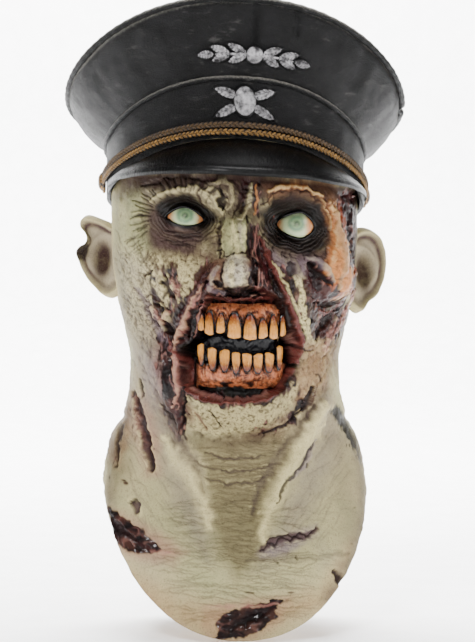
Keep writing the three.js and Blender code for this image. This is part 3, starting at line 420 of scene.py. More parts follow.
# Strokes: tone, cover, half width, lift in mm, wetness, and the way the line runs, in pixels.
strokes = [
    # wet black gaps beside the teeth, inside the torn lips, with thin pink painted highlights along their
    # edges
    ("black", 0.96, 5.5, -2, 0.85, [(284, 302), (291, 322), (297, 342), (298, 362), (289, 384)]),
    ("black", 0.96, 4.6, -2, 0.85, [(200, 302), (193, 322), (187, 344), (184, 364), (187, 384)]),
    ("pink", 0.6, 1.0, 1.2, 0.8, [(286, 306), (294, 328), (301, 346), (300, 364)]),
    ("pink", 0.6, 1.0, 1.2, 0.8, [(203, 300), (196, 318), (190, 338)]),
    # brow over the left eye, and the curled fold between the brows
    ("shade", 0.8, 2.2, -1.5, 0, [(141, 186), (165, 176), (192, 176), (213, 184), (226, 196)]),
    ("brow", 0.4, 3.5, 1.6, 0, [(150, 200), (172, 189), (195, 189), (212, 199), (224, 214)]),
    ("black", 0.9, 3, -3, 0.3, [(219, 188), (221, 194), (221, 200), (222, 209)]),
    ("brow", 0.4, 2.6, 1.3, 0, [(213, 207), (206, 196), (210, 184), (221, 179), (231, 184), (234, 196),
     (228, 208)]),
    ("brown", 0.8, 1.4, -1, 0, [(204, 208), (198, 196), (203, 182), (218, 174), (234, 178), (240, 192)]),
    ("brow", 0.6, 3, 1.5, 0, [(251, 182), (251, 192), (248, 205), (240, 218)]),
    ("brown", 0.7, 1.5, -1, 0, [(243, 183), (242, 196), (236, 210), (230, 220)]),
    ("bone", 0.7, 1.4, 0, 0.2, [(257, 184), (257, 200), (254, 214)]),
    ("bone", 0.6, 3, 1.5, 0.1, [(267, 192), (284, 186), (307, 187), (322, 196)]),
    ("brown", 0.7, 1.4, -1, 0, [(262, 205), (272, 194), (292, 188), (312, 193), (326, 208)]),
    ("orange", 0.35, 2, -0.6, 0.5, [(326, 204), (333, 222), (333, 240), (328, 262), (322, 284)]),
    ("orange", 0.6, 2.4, -0.4, 0.5, [(343, 204), (350, 240), (355, 268), (350, 292)]),
    ("brown", 0.7, 1.2, -0.8, 0.4, [(322, 206), (329, 222), (329, 240), (324, 258)]),
    ("tan", 0.7, 3, 1, 0.6, [(334, 214), (341, 240), (344, 264), (338, 288)]),
    # nose: creases, wings, nostril; a painted highlight down the bridge, brown and painted shade down both
    # its sides
    ("brown", 0.55, 1.4, -1.2, 0, [(222, 252), (228, 255), (240, 253), (248, 250)]),
    ("cream", 0.35, 5, 1.8, 0, [(232, 220), (234, 238), (237, 256)]),
    ("brown", 0.6, 2.2, -1.2, 0, [(224, 214), (220, 230), (219, 246), (222, 256)]),
    ("brown", 0.6, 2, -1.2, 0, [(246, 216), (248, 230), (250, 244), (251, 254)]),
    ("violet", 0.5, 1.4, 0.6, 0, [(240, 220), (241, 236), (243, 250)]),
    ("black", 0.8, 1.5, -2, 0.2, [(224, 262), (221, 274), (222, 286), (230, 295), (240, 297), (248, 291),
     (251, 278)]),
    ("black", 0.95, 3, -3.5, 0.2, [(213, 282), (217, 284), (220, 286)]),
    ("violet", 0.6, 2.6, 1.4, 0.1, [(218, 266), (213, 275), (209, 287), (214, 293), (222, 294)]),
    ("flesh", 0.85, 1.8, 2.2, 0.7, [(198, 304), (212, 298), (226, 301), (240, 306), (252, 307), (262, 299),
     (272, 297), (284, 306)]),
    ("pink", 0.6, 1.1, 1.2, 0.5, [(204, 298), (218, 295), (232, 299), (246, 302), (256, 297), (268, 292)]),
    ("black", 0.85, 1.2, -1.6, 0.4, [(202, 301), (220, 299), (240, 302), (256, 302), (276, 300)]),
    ("black", 0.95, 2.6, -4, 0.5, [(253, 258), (256, 270), (257, 284)]),
    ("blood", 0.8, 1.8, 1, 0.7, [(262, 248), (266, 262), (268, 282)]),
    ("flesh", 0.8, 1.4, 1, 0.5, [(258, 232), (264, 246), (272, 262), (276, 280)]),
    ("black", 0.8, 1.6, -2, 0.3, [(222, 295), (236, 297), (252, 294), (266, 293)]),
    # painted highlight on the left of the nose tip, painted shade on its right
    ("cream", 0.5, 3.2, 0.6, 0.1, [(232, 262), (231, 274), (233, 283)]),
    ("bag", 0.55, 2.6, -0.4, 0, [(245, 262), (247, 274), (244, 287), (236, 292)]),
    # left cheek: crease from the nose, torn flap, holes
    ("blood", 0.8, 2.2, 1.5, 0.6, [(210, 264), (199, 282), (187, 303), (178, 326), (176, 350)]),
    ("black", 0.9, 1.8, -3, 0.3, [(206, 282), (196, 300), (188, 318), (184, 336)]),
    ("pink", 0.85, 2.6, 2.2, 0.4, [(203, 286), (194, 302), (184, 322), (174, 341)]),
    ("black", 0.95, 3.2, -4, 0.3, [(163, 320), (167, 327), (172, 333)]),
    ("black", 0.9, 2.4, -3, 0.4, [(165, 276), (163, 284), (168, 292), (173, 299)]),
    ("blood", 0.7, 2, 0.5, 0.4, [(160, 286), (158, 280), (164, 272)]),
    ("pink", 0.6, 3.5, 1.2, 0.1, [(172, 282), (177, 290), (176, 298)]),
    ("black", 0.85, 1.6, -2, 0, [(145, 275), (149, 273), (152, 270)]),
    ("brown", 0.7, 2.4, -0.8, 0, [(146, 296), (154, 297), (163, 303), (168, 312)]),
    ("black", 0.85, 1.6, -2, 0.3, [(154, 303), (160, 308), (163, 313)]),
    ("pink", 0.8, 3, 1.4, 0.2, [(150, 308), (155, 316), (162, 322), (167, 312)]),
    ("maroon", 0.8, 1.3, -0.6, 0.3, [(147, 311), (152, 320), (160, 327)]),
    ("violet", 0.5, 4, -1, 0, [(134, 288), (142, 296), (147, 308), (156, 326), (166, 345)]),
    # left lip edge and jaw
    ("pink", 0.85, 2.2, 1.5, 0.5, [(176, 342), (172, 356), (175, 372), (177, 388), (172, 408)]),
    ("flesh", 0.85, 2, 1.5, 0.6, [(168, 338), (171, 350), (181, 362), (183, 378), (182, 394)]),
    ("black", 0.9, 2, -2.5, 0.3, [(182, 388), (184, 402), (183, 418), (176, 432)]),
    ("blood", 0.9, 3, 0.5, 0.7, [(177, 410), (176, 422), (178, 434)]),
    ("brown", 0.6, 1.1, -0.8, 0, [(162, 341), (163, 350)]),
    ("brown", 0.6, 1.1, -0.8, 0, [(168, 365), (171, 372)]),
    # right cheek: strand, holes, wet cheekbone, gash
    ("flesh", 0.9, 2.4, 2, 0.7, [(266, 254), (277, 272), (287, 300), (297, 322), (303, 341), (300, 362)]),
    ("black", 0.95, 3, -3, 0.7, [(273, 278), (281, 296), (290, 318), (296, 338)]),
    ("cream", 0.5, 1.8, 1.2, 0.1, [(274, 262), (286, 284), (298, 312), (308, 338)]),
    ("blue", 0.85, 4, -2.5, 0.5, [(289, 263), (291, 270), (291, 276)]),
    ("shade", 0.7, 1.6, 1, 0.2, [(284, 262), (289, 257), (296, 262), (298, 272), (294, 281)]),
    ("black", 0.95, 3.4, -4, 0.4, [(309, 263), (315, 270), (322, 276), (326, 282)]),
    ("violet", 0.6, 2.6, 1.5, 0.3, [(307, 257), (318, 260), (328, 270), (330, 280)]),
    ("blood", 0.85, 3, 0.5, 0.8, [(306, 272), (308, 284), (314, 294), (322, 300)]),
    ("black", 0.9, 2, -2.5, 0.6, [(314, 302), (326, 306), (338, 302), (346, 294)]),
    ("black", 0.9, 3, -2.5, 0.4, [(316, 340), (320, 330), (330, 318), (340, 308)]),
    ("pink", 0.7, 1.4, 1.4, 0.3, [(332, 340), (342, 322), (350, 302), (354, 290)]),
    ("flesh", 0.7, 1.6, 1.2, 0.5, [(318, 308), (326, 314), (336, 312), (344, 302)]),
    ("pink", 0.6, 2.2, 1, 0.1, [(324, 352), (330, 336), (338, 318)]),
    ("black", 0.95, 2.6, -3, 0.7, [(286, 362), (290, 367), (296, 364)]),
    ("black", 0.9, 3, -3.2, 0.6, [(314, 388), (311, 394), (307, 402), (304, 408)]),
    ("blood", 0.8, 1.2, 0.6, 0.7, [(318, 386), (316, 396), (310, 404)]),
    ("black", 0.9, 1.6, -2, 0.5, [(303, 410), (290, 421), (278, 428), (264, 434)]),
    ("maroon", 0.7, 1.4, -0.8, 0.2, [(300, 345), (306, 352), (312, 350)]),
    ("maroon", 0.7, 1.4, -0.8, 0.2, [(318, 374), (322, 381)]),
    # temple
    ("pink", 0.55, 1.4, 2, 0.3, [(359, 196), (362, 225), (361, 255), (358, 276)]),
    ("black", 0.8, 2, -2, 0.2, [(348, 196), (352, 212), (353, 236), (356, 262)]),
    ("brown", 0.7, 1.4, -0.6, 0.1, [(327, 192), (326, 203), (330, 214)]),
    # lips, gum line and chin
    ("pink", 0.7, 1.6, 2.4, 0.8, [(186, 388), (198, 394), (220, 399), (244, 400), (266, 395), (282, 384)]),
    ("flesh", 0.85, 2.4, 1.6, 0.8, [(184, 389), (196, 396), (220, 402), (244, 402), (268, 398), (286, 385),
     (296, 370)]),
    ("flesh", 0.8, 2, 1.5, 0.5, [(206, 296), (215, 300), (240, 299), (262, 301), (278, 304)]),
    ("brown", 0.6, 1.2, -1, 0.1, [(208, 410), (216, 418), (222, 428)]),
    ("flesh", 0.7, 2, -0.6, 0.3, [(196, 412), (202, 420), (206, 430)]),
    # neck and chest
    ("maroon", 0.9, 2.4, -1.4, 0.3, [(122, 392), (122, 412), (118, 440), (116, 466)]),
    ("pink", 0.6, 4.4, 0, 0.1, [(135, 396), (140, 420), (149, 449), (154, 468)]),
    ("maroon", 0.95, 3.2, -2, 0.4, [(134, 392), (138, 413), (143, 431), (148, 449), (152, 470)]),
    ("black", 0.85, 1.6, -1.6, 0.2, [(139, 376), (141, 390), (142, 397)]),
    ("shade", 0.7, 6, -2, 0, [(154, 390), (164, 412), (173, 434), (184, 452), (195, 470), (203, 492)]),
    ("black", 0.7, 1.4, -1.2, 0.1, [(158, 402), (166, 414), (171, 424)]),
    # painted highlight along the left neck cord
    ("cream", 0.5, 9, 2.2, 0, [(164, 440), (176, 461), (190, 478), (202, 497), (210, 526)]),
    ("shade", 0.5, 1.4, -1, 0, [(191, 461), (205, 467), (220, 470), (238, 472), (264, 469), (283, 462)]),
    ("shade", 0.5, 1.4, -1, 0, [(205, 452), (222, 458), (244, 460), (266, 456)]),
    ("shade", 0.45, 1.4, -1, 0, [(203, 478), (225, 484), (250, 484), (272, 476)]),
    # painted highlight along the right neck cord
    ("cream", 0.5, 9, 2.6, 0, [(326, 406), (310, 436), (283, 479), (266, 515), (262, 540)]),
    ("shade", 0.6, 6, -1.8, 0, [(314, 405), (300, 430), (278, 460), (262, 486), (254, 512)]),
    ("violet", 0.7, 3, 0.3, 0.1, [(316, 440), (304, 466), (290, 480)]),
    ("maroon", 0.85, 1.7, -1, 0.3, [(315, 442), (300, 467), (287, 481), (274, 504)]),
    ("maroon", 0.7, 1.8, -0.6, 0.2, [(307, 464), (308, 467)]),
    ("shade", 0.3, 3.5, -0.6, 0, [(247, 562), (276, 558), (310, 558), (348, 553)]),
    ("bag", 0.85, 4.2, -1, 0.2, [(261, 549), (272, 541), (284, 540), (296, 536), (304, 538), (318, 529)]),
    ("maroon", 0.85, 1.3, -1.2, 0.3, [(262, 551), (268, 543), (276, 546), (283, 537), (291, 541),
     (300, 534), (307, 539), (318, 528)]),
    ("maroon", 0.8, 1.0, -1, 0.3, [(266, 540), (278, 537), (290, 534), (302, 541)]),
    ("maroon", 0.7, 1.5, -0.5, 0.2, [(279, 562), (280, 565)]),
    ("maroon", 0.7, 1.5, -0.5, 0.2, [(298, 556), (299, 559)]),
    ("maroon", 0.8, 1.6, -1.5, 0.2, [(128, 502), (134, 499), (139, 506), (138, 515)]),
    ("bag", 0.9, 4.2, -2, 0.2, [(131, 502), (136, 508), (135, 514)]),
    ("maroon", 0.9, 3.6, -2, 0.4, [(113, 520), (122, 532), (134, 540)]),
    ("blood", 0.7, 1.8, -0.8, 0.3, [(134, 541), (146, 547), (157, 551)]),
    ("pink", 0.6, 1.8, 0.4, 0.1, [(150, 550), (163, 553), (176, 556)]),
    ("maroon", 0.95, 6, -1.8, 0.5, [(224, 630), (238, 622), (256, 616), (272, 608)]),
    ("black", 0.9, 3, -1.5, 0.6, [(230, 630), (246, 622), (264, 614)]),
    ("pink", 0.6, 2, 0.6, 0.1, [(206, 606), (226, 606), (252, 607), (280, 604)]),
    ("maroon", 0.95, 4, -1.5, 0.4, [(334, 572), (338, 578), (342, 584)]),
]


def fan(inner, outer, count, spread=0.5):
    """Lines from one edge to another, a little uneven, as fine wrinkles run."""
    lines = []
    for k in range(count):
        share = (k + rng.uniform(-spread, spread)) / max(count - 1, 1)
        place = np.clip(share, 0, 1) * (len(inner) - 1)
        i = min(int(place), len(inner) - 2)
        ends = [np.add(np.multiply(edge[i], 1 - place + i),
            np.multiply(edge[i + 1], place - i)) for edge in (inner, outer)]
        cut = rng.uniform(0, 0.3), rng.uniform(0.7, 1)
        a, b = (ends[0] + (ends[1] - ends[0]) * c for c in cut)
        bow = rng.uniform(-0.08, 0.08)
        middle = (a + b) / 2 + bow * np.array([b[1] - a[1], a[0] - b[0]])
        lines.append([tuple(a), tuple(middle), tuple(b)])
    return lines


# Families of fine wrinkles: tone, cover, half width, lift in mm, count, and the two edges they run between.
wrinkles = [
    ("black", 0.75, 0.9, -0.9, 17, [(152, 206), (173, 195), (192, 194), (206, 203)], [(136, 196),
     (160, 172), (196, 170), (222, 182)]),
    ("black", 0.7, 0.9, -0.8, 9, [(156, 208), (152, 216), (150, 228)], [(132, 200), (126, 220),
     (136, 240)]),
    ("brown", 0.6, 0.8, -0.7, 12, [(140, 232), (150, 248), (160, 256)], [(120, 244), (134, 262),
     (152, 272)]),
    ("black", 0.7, 0.9, -0.8, 8, [(160, 216), (162, 226), (158, 244)], [(208, 226), (206, 234),
     (196, 250)]),
    ("brown", 0.6, 0.8, -0.6, 10, [(258, 184), (254, 204)], [(240, 178), (236, 216)]),
    ("black", 0.6, 0.9, -0.8, 8, [(266, 230), (276, 244), (290, 252), (318, 252)], [(262, 238), (274, 254),
     (292, 262), (326, 260)]),
    ("black", 0.6, 0.9, -0.8, 7, [(266, 208), (276, 199), (300, 196), (322, 212)], [(262, 196), (276, 186),
     (304, 182), (334, 200)]),
    ("shade", 0.5, 0.9, -0.6, 7, [(190, 300), (196, 420)], [(166, 268), (160, 400)]),
    ("shade", 0.35, 1, -0.5, 8, [(112, 290), (136, 330), (150, 400)], [(104, 250), (128, 300), (160, 350)]),
    ("shade", 0.4, 1, -0.6, 6, [(214, 222), (214, 250)], [(222, 220), (222, 252)]),
    ("brown", 0.4, 0.9, -0.5, 8, [(322, 210), (352, 290)], [(336, 206), (330, 296)]),
]

# Short scattered wrinkles: tone, cover, half width, lift in mm, count, length, tilt in degrees, outline.
scattered = [
    ("brown", 0.5, 0.6, -0.35, 260, 40, 1, [(176, 500), (290, 500), (306, 560), (296, 622), (180, 622),
     (160, 560)]),
    ("brown", 0.45, 0.6, -0.3, 90, 30, 2, [(204, 448), (284, 440), (264, 500), (212, 500)]),
    ("shade", 0.35, 0.7, -0.25, 50, 26, -55, [(312, 412), (352, 470), (330, 540), (280, 520)]),
    ("shade", 0.35, 0.7, -0.25, 50, 26, 60, [(128, 392), (150, 400), (196, 500), (150, 540), (120, 480)]),
    ("shade", 0.3, 0.7, -0.2, 30, 22, 12, [(290, 510), (352, 490), (346, 570), (290, 600)]),
    ("brown", 0.5, 0.7, -0.4, 50, 10, 80, [(150, 232), (206, 236), (196, 262), (150, 262)]),
    ("brown", 0.5, 0.7, -0.4, 50, 9, 60, [(222, 174), (262, 178), (262, 214), (226, 214)]),
    ("brown", 0.5, 0.8, -0.4, 70, 14, 62, [(112, 230), (140, 240), (164, 330), (150, 390), (120, 340)]),
]


def scatter(outline, count, length, tilt):
    corners = np.array(outline)
    low, high = corners.min(0), corners.max(0)
    lines = []
    while len(lines) < count:
        at = rng.uniform(low, high)
        if inside_of(at[:1], at[1:], outline)[0] < 0:
            continue
        turn = math.radians(tilt + rng.normal(0, 9))
        run = np.array([math.cos(turn), math.sin(turn)]) * length * rng.uniform(0.3, 0.8)
        bend = np.array([-run[1], run[0]]) * rng.uniform(-0.12, 0.12)
        lines.append([tuple(at - run), tuple(at + bend), tuple(at + run)])
    return lines


coat = np.tile(tones["pale"], (len(flat_plain), 1))
wet = np.zeros(len(flat_plain))
relief = np.zeros(len(flat_plain))
grain = np.full(len(flat_plain), 0.35)

# Under the strokes, the whole casting is mottled, darker in its hollows and behind.
mottle = cloud(flat_plain, 34) * 0.6 + cloud(flat_plain + 70, 13) * 0.4
coat += (tones["greenish"] - coat) * ease(0, 0.9, mottle)[:, None] * 0.5
coat += (tones["violet"] - coat) * ease(0.1, 0.9, -mottle)[:, None] * 0.45


def cover_with(colour, mask):
    """Sprays a colour over the coat, 1 in the mask covering it wholly."""
    coat[:] = coat + (colour - coat) * mask[:, None]


def close_to(path, reach):
    """Which points of the front lie within a reach in pixels of a path's corners."""
    low, high = np.min(path, axis=0) - reach, np.max(path, axis=0) + reach
    return (facing > 0) & (px > low[0]) & (px < high[0]) & (py > low[1]) & (py < high[1])


def sprayed(outline, soft):
    """1 inside an outline, with a torn soft edge."""
    mask, near = np.zeros(len(px)), close_to(outline, soft + 6)
    mask[near] = ease(-soft, soft, inside_of(torn_x[near], torn_y[near], outline))
    return mask


def lay(name, cover, lift, wetness, mask):
    """Sprays a tone through a mask, and raises and wets the skin under it."""
    mask = mask * facing
    cover_with(tones[name], np.clip(mask * cover, 0, 1))
    wet[:] = wet + (wetness - wet) * mask * (0.9 if wetness else 0.5)
    relief[:] = relief + lift * mask


# Painted shade lies patchily over the whole face; rotten flesh round the mouth, nose and cheeks is darker
# and deeply creased all over.
rotten_edge = [
    (152, 262), (178, 252), (212, 236), (244, 214), (262, 232), (300, 252), (336, 250), (352, 290), (338,
     350),
    (318, 400), (280, 440), (236, 446), (190, 440), (166, 410), (156, 350), (146, 300),
]
rotten = ease(-16, 14, inside_of(torn_x, torn_y, rotten_edge)) * facing
face_edge = [(120, 178), (356, 190), (362, 290), (330, 400), (280, 440), (190, 440), (150, 380), (130, 290)]
face = ease(-14, 14, inside_of(*seen.T, face_edge)) * facing
cover_with(tones["shade"], face * (0.36 + 0.36 * cloud(flat_plain + 510, 9)))
cover_with(tones["flesh"], 0.5 * rotten * ease(-0.4, 0.6, cloud(flat_plain + 210, 13)))
cover_with(tones["brown"], 0.5 * rotten * ease(-0.3, 0.5, cloud(flat_plain + 250, 8)))
cover_with(tones["bag"], 0.45 * face * ease(0.0, 0.6, cloud(flat_plain + 350, 6)))

# Behind the painted face: air-brushed blotches, thin veins and folds across the nape, a painted shadow
# under the cap and a darker band along the rim.
unseen = 1 - facing
blotch = [cloud(flat_plain + shift, size) for shift, size in ((810, 26), (840, 15), (870, 30))]
vein = 1 - np.clip(np.abs(cloud(flat_plain + 830, 24)) * 14, 0, 1)
nape = 1 - np.clip(np.abs(cloud(flat_plain * (0.1, 0.1, 1) @ skewed.T + 860, 4.5)) * 5, 0, 1)
nape = nape * ease(-150, -210, flat_plain[:, 2])
low_rim = ease(0.75, 1.0, down.reshape(-1))
cap_shadow = ease(-105, -84, flat_plain[:, 2] - 0.2 * flat_plain[:, 1])
cover_with(tones["violet"], 0.6 * unseen * ease(0, 0.5, blotch[0]))
cover_with(tones["shade"], 0.45 * unseen * ease(0.05, 0.6, blotch[1]))
cover_with(tones["greenish"], 0.6 * unseen * ease(0, 0.5, blotch[2]))
cover_with(tones["bag"], 0.3 * unseen * vein * ease(-0.2, 0.3, blotch[0]))
cover_with(tones["brown"], unseen * (0.28 * nape + 0.35 * low_rim + 0.5 * cap_shadow))
relief -= unseen * (0.6 * nape - 0.3 * vein)

# The paint itself: areas, then torn flesh, then fine lines and strokes over both.
for name, cover, soft, lift, wetness, outline in areas:
    lay(name, cover, lift, wetness, sprayed(outline, soft))
gore = [  # how much of the area is torn, soft edge, outline
    (0.95, 8, [(248, 222), (258, 224), (272, 256), (300, 290), (306, 345), (298, 366), (282, 302),
     (262, 294), (252, 290)]),
    (0.95, 8, [(207, 256), (196, 272), (184, 296), (166, 326), (158, 338), (178, 350), (196, 332),
     (206, 296), (212, 276)]),
    (0.75, 8, [(300, 260), (326, 262), (340, 296), (352, 300), (348, 336), (326, 346), (312, 336),
     (306, 306)]),
    (0.85, 4, [(340, 190), (362, 190), (364, 280), (350, 330), (344, 330), (352, 280), (346, 240)]),
    (0.5, 8, [(144, 268), (180, 264), (184, 296), (176, 328), (160, 330), (148, 318)]),
    (0.85, 8, [(158, 334), (184, 345), (186, 438), (170, 436), (160, 400), (158, 360)]),
    (0.9, 6, [(183, 386), (230, 398), (270, 394), (302, 368), (304, 380), (270, 406), (228, 408),
     (188, 398)]),
    (0.5, 8, [(296, 380), (324, 384), (318, 414), (270, 440), (256, 430), (290, 408)]),
    (1.25, 6, [(108, 508), (124, 516), (146, 534), (160, 550), (136, 552), (112, 540)]),
    (1.3, 6, [(222, 614), (248, 605), (280, 600), (276, 616), (262, 630), (240, 639), (214, 640),
     (218, 628)]),
    (0.2, 10, [(108, 398), (136, 386), (156, 440), (156, 474), (138, 470), (112, 500), (104, 450)]),
    (0.5, 8, [(240, 178), (262, 180), (262, 214), (250, 226), (236, 214)]),
    (0.35, 12, [(290, 276), (322, 282), (324, 330), (306, 344), (292, 312)]),
]
torn = np.zeros(len(flat_plain))
for amount, soft, outline in gore:
    torn = np.maximum(torn, amount * sprayed(outline, soft))
chest_line = 480  # below it the flesh is torn across, and above it downward
grain_way = np.where(py[:, None] > chest_line, (0.4, 1, 1.5), (1.3, 1, 0.6))
ripped = 0.55 * cloud(flat_plain * grain_way + 400, 7) + 0.45 * cloud(flat_plain * grain_way + 430, 3)
torn = ease(0.02, 0.3, torn * 1.15 - 0.45 - ripped * 0.8) * facing
deeper = ease(0.0, 0.5, cloud(flat_plain + 470, 5))
cover_with(tones["blood"], 0.95 * torn)
cover_with(tones["maroon"], 0.95 * torn * deeper)
fibre = 1 - np.clip(np.abs(cloud(flat_plain * grain_way * (1.2, 1, 0.7) + 650, 4)) * 4, 0, 1)
cover_with(tones["black"], 0.85 * torn * ease(-0.1, 0.4, cloud(flat_plain + 680, 6)))
cover_with(tones["pink"], np.where(py > chest_line, 0.3, 0.7) * torn * fibre * ease(-0.1, 0.4,
    cloud(flat_plain + 700, 9)))
relief += 0.7 * torn * fibre
wet = np.maximum(wet, 0.6 * torn)
relief -= 0.9 * torn * (0.4 + 0.6 * deeper)
for name, cover, width, lift, count, inner, outer in wrinkles:
    for path in fan(inner, outer, count):
        near, line = close_to(path, 5), np.zeros(len(px))
        away, share = to_path(px[near], py[near], path)
        thin = width * (0.35 + 0.65 * np.sin(math.pi * np.clip(share, 0.02, 0.98)))
        line[near] = np.exp(-((away / thin) ** 2) / 1.6)
        lay(name, cover, lift, 0, line)
for name, cover, width, lift, count, length, tilt, outline in scattered:
    lines = np.zeros(len(px))
    for path in scatter(outline, count, length, tilt):
        near = close_to(path, 4)
        away, share = to_path(px[near], py[near], path)
        lines[near] = np.maximum(lines[near],
            np.exp(-((away / width) ** 2)) * np.sin(math.pi * np.clip(share, 0.05, 0.95)))
    lay(name, cover, lift, 0, lines)
for name, cover, width, lift, wetness, path in strokes:
    near, line = close_to(path, 2 * width + 8), np.zeros(len(px))
    away, share = to_path(torn_x[near], torn_y[near], path)
    thin = width * (0.4 + 0.6 * np.sin(math.pi * np.clip(share, 0.03, 0.97)) ** 0.6)
    line[near] = np.exp(-((away / thin) ** 2)) if width > 4.5 else 1 - ease(0.45, 1.5, away / thin)
    lay(name, cover, lift, wetness, line)

almonds = {
    -1: [(167, 217), (174, 211), (184, 208), (194, 212), (203, 220), (195, 224.5), (184, 225.5), (174,
        222.5)],
    1: [(276, 224), (285, 217), (300, 213), (309, 218), (314, 226), (310, 233), (300, 237.5), (286, 233)],
}


def creases(size, shift):
    """Thin winding lines, 1 on the line and 0 between lines."""
    return 1 - np.clip(np.abs(cloud(flat_plain + shift, size)) * 3.2, 0, 1)


nose_tip = [(224, 256), (238, 252), (249, 262), (248, 286), (236, 294), (224, 284)]
spotted = sum(sprayed(outline, 5) for name, *_, outline in areas if name == "cream") + sprayed(nose_tip, 3)
spotted = np.clip(spotted, 0, 1) * facing
relief -= (0.15 + 0.85 * rotten) * (0.65 * creases(9, 20) * (1 - 0.85 * spotted) + 0.5 * creases(4,
    60)) * (1 - 0.5 * wet)
pits = ease(0.1, 0.45, cloud(flat_plain + 900, 1.7)) * (spotted + 0.4 * face * (1 - spotted)) * (1 - wet)
relief -= 0.35 * pits
for side, almond in almonds.items():
    beyond = -inside_of(px, py, almond)
    below = ease(-4, 6, py - (216 if side < 0 else 226))
    ring = np.cos(2 * math.pi * beyond / 3.4 + 3 * cloud(flat_plain, 8)) * ease(1.5, 4, beyond)
    reach = ease(26, 12, beyond) * (0.35 + 0.65 * below) * facing
    relief += 0.8 * ring * reach
    fold = ease(0.2, 0.9, ring) * ease(22, 14, beyond) * ease(3, 6, beyond) * (0.3 + 0.7 * below) * facing
    cover_with(tones["shade"], 0.38 * fold)
    wet = np.maximum(wet, 0.5 * ease(16, 8, beyond) * ease(0, 3, beyond) * facing)

# Brown and black settle in the hollows and cream on the crests: a wash and dry-brush of paint that is also
# painted shade in the hollows and painted highlight on the crests.
level = (relief * (1 - wet)).reshape(angle.shape)
level = np.mean([level[np.clip(np.arange(len(level)) + k, 0, len(level) - 1)] for k in range(-5, 6)],
    axis=0)
level = np.mean([np.roll(level, k, axis=1) for k in range(-5, 6)], axis=0).reshape(-1)
sunk = np.clip((level - relief * (1 - wet)) / 0.9, -1, 1)
cover_with(tones["brown"], 0.6 * pits)
cover_with(tones["brown"], 0.85 * ease(0.05, 0.9, sunk) * (0.4 + 0.6 * rotten))
cover_with(tones["black"], 0.7 * ease(0.5, 1.0, sunk) * rotten)
cover_with(tones["cream"], 0.4 * ease(0.15, 0.8, -sunk) * (1 - wet) * ease(0.03, 0.14,
    coat @ (0.25, 0.6, 0.15)))

grain = np.clip(grain + spotted, 0, 1)
mouth_mask = ease(-1.5, 4, inside_of(torn_x, torn_y, mouth_edge)) * facing
relief = relief - mouth_depth * mouth_mask
relief += 0.35 * cloud(flat_plain, 4) + 0.5 * cloud(flat_plain, 11) * (1 - 0.6 * mouth_mask)
skin_points = flat_plain + outward * relief[:, None]

# Lids: the skin laps over each eyeball, apart from an almond-shaped gap.
eye_radius, eye_bulge, eye_across = 15, 8, 40.0


def eye_middle(side):
    x = side * eye_across
    half = float(head_section(np.array([float(eye_drop)]))[0][0])
    at = np.array([math.copysign(math.asin((abs(x) / half) ** (section_power / 2)), x)])
    floor = skin_places(at, np.array([float(eye_drop)]), np.array([0.0]), face_lift)[0][0]
    return np.array([x, floor[1] + eye_radius - eye_bulge, floor[2]])


for side, almond in almonds.items():
    middle = eye_middle(side)
    gap = inside_of(*seen.T, almond)
    beside = np.hypot(skin_points[:, 0] - middle[0], skin_points[:, 2] - middle[2])
    ball_front = middle[1] - np.sqrt(np.maximum(eye_radius**2 - beside**2, 0))
    lid = ball_front - 1.5 + 0.35 * np.maximum(beside - 11, 0)
    over = ease(0.5, -1.5, gap) * ease(19, 15, beside) * facing
    skin_points[:, 1] += np.minimum(lid - skin_points[:, 1], 0) * over
    under = ease(-0.5, 1.5, gap) * ease(16, 12, beside) * facing
    skin_points[:, 1] += np.maximum(ball_front + 3 - skin_points[:, 1], 0) * under


def mesh_piece(name, points, faces):
    """A new piece from points in millimetres."""
    mesh = bpy.data.meshes.new(name)
    mesh.from_pydata((np.asarray(points, float) * mm).tolist(), [], [list(map(int, f)) for f in faces])
    mesh.validate()
    mesh.polygons.foreach_set("use_smooth", [True] * len(mesh.polygons))
    piece = bpy.data.objects.new(name, mesh)
    bpy.context.collection.objects.link(piece)
    return piece


def grid_faces(rows, columns, start=0, wrap=True):
    """Four-cornered faces over a grid of points stored row after row."""
    i, j = np.meshgrid(np.arange(rows - 1), np.arange(columns if wrap else columns - 1), indexing="ij")
    nxt = (j + 1) % columns
    quads = np.stack([i * columns + j, (i + 1) * columns + j, (i + 1) * columns + nxt, i * columns + nxt],
        -1)
    return start + quads.reshape(-1, 4)


def paint_on(piece, **values):
    """Keeps numbers, one for each point, on a piece for its material to read."""
    for name, data in values.items():
        data = np.asarray(data, float)
        if data.ndim == 2:
            layer = piece.data.attributes.new(name, "FLOAT_COLOR", "POINT")
            layer.data.foreach_set("color", np.concatenate([data, np.ones((len(data), 1))], 1).reshape(-1))
        else:
            layer = piece.data.attributes.new(name, "FLOAT", "POINT")
            layer.data.foreach_set("value", data)


# The inside is plain, and lies well behind the sculpted side apart from at the rim.
inner_step = 6
inner_rows = list(range(4, len(row_drop) - 1, 9)) + [len(row_drop) - 1]
inner_angle, inner_drop = angle[inner_rows, ::inner_step], drop[inner_rows, ::inner_step]
inner_down = down[inner_rows, ::inner_step]


def hollow_lift(x, deep):
    reach = [-13, -6.5, 0, 6.5, 13]
    return np.min([face_lift(x + dx, deep + dz) for dx in reach for dz in reach], axis=0)


inner, _ = skin_places(inner_angle, inner_drop, inner_down, hollow_lift)
wall = 2.6 + 5 * ease(1, 0.9, inner_down)
size = np.maximum(np.hypot(inner[..., 0], inner[..., 1]), 1e-6)
inner[..., :2] *= ((size - wall) / size)[..., None]
inner[..., 2] -= np.where(inner_drop < 60, 5, 0)
inner_columns = inner.shape[1]
inner = np.concatenate([inner.reshape(-1, 3), [[0, 0, -4]]])

drips = ease(-0.2, 0.6, cloud(inner * (1, 1, 0.25) + 950, 9))[:, None]
# raw latex, with runs of the outside's paint
inside_coat = tones["raw"] + (tones["tan"] - tones["raw"]) * drips

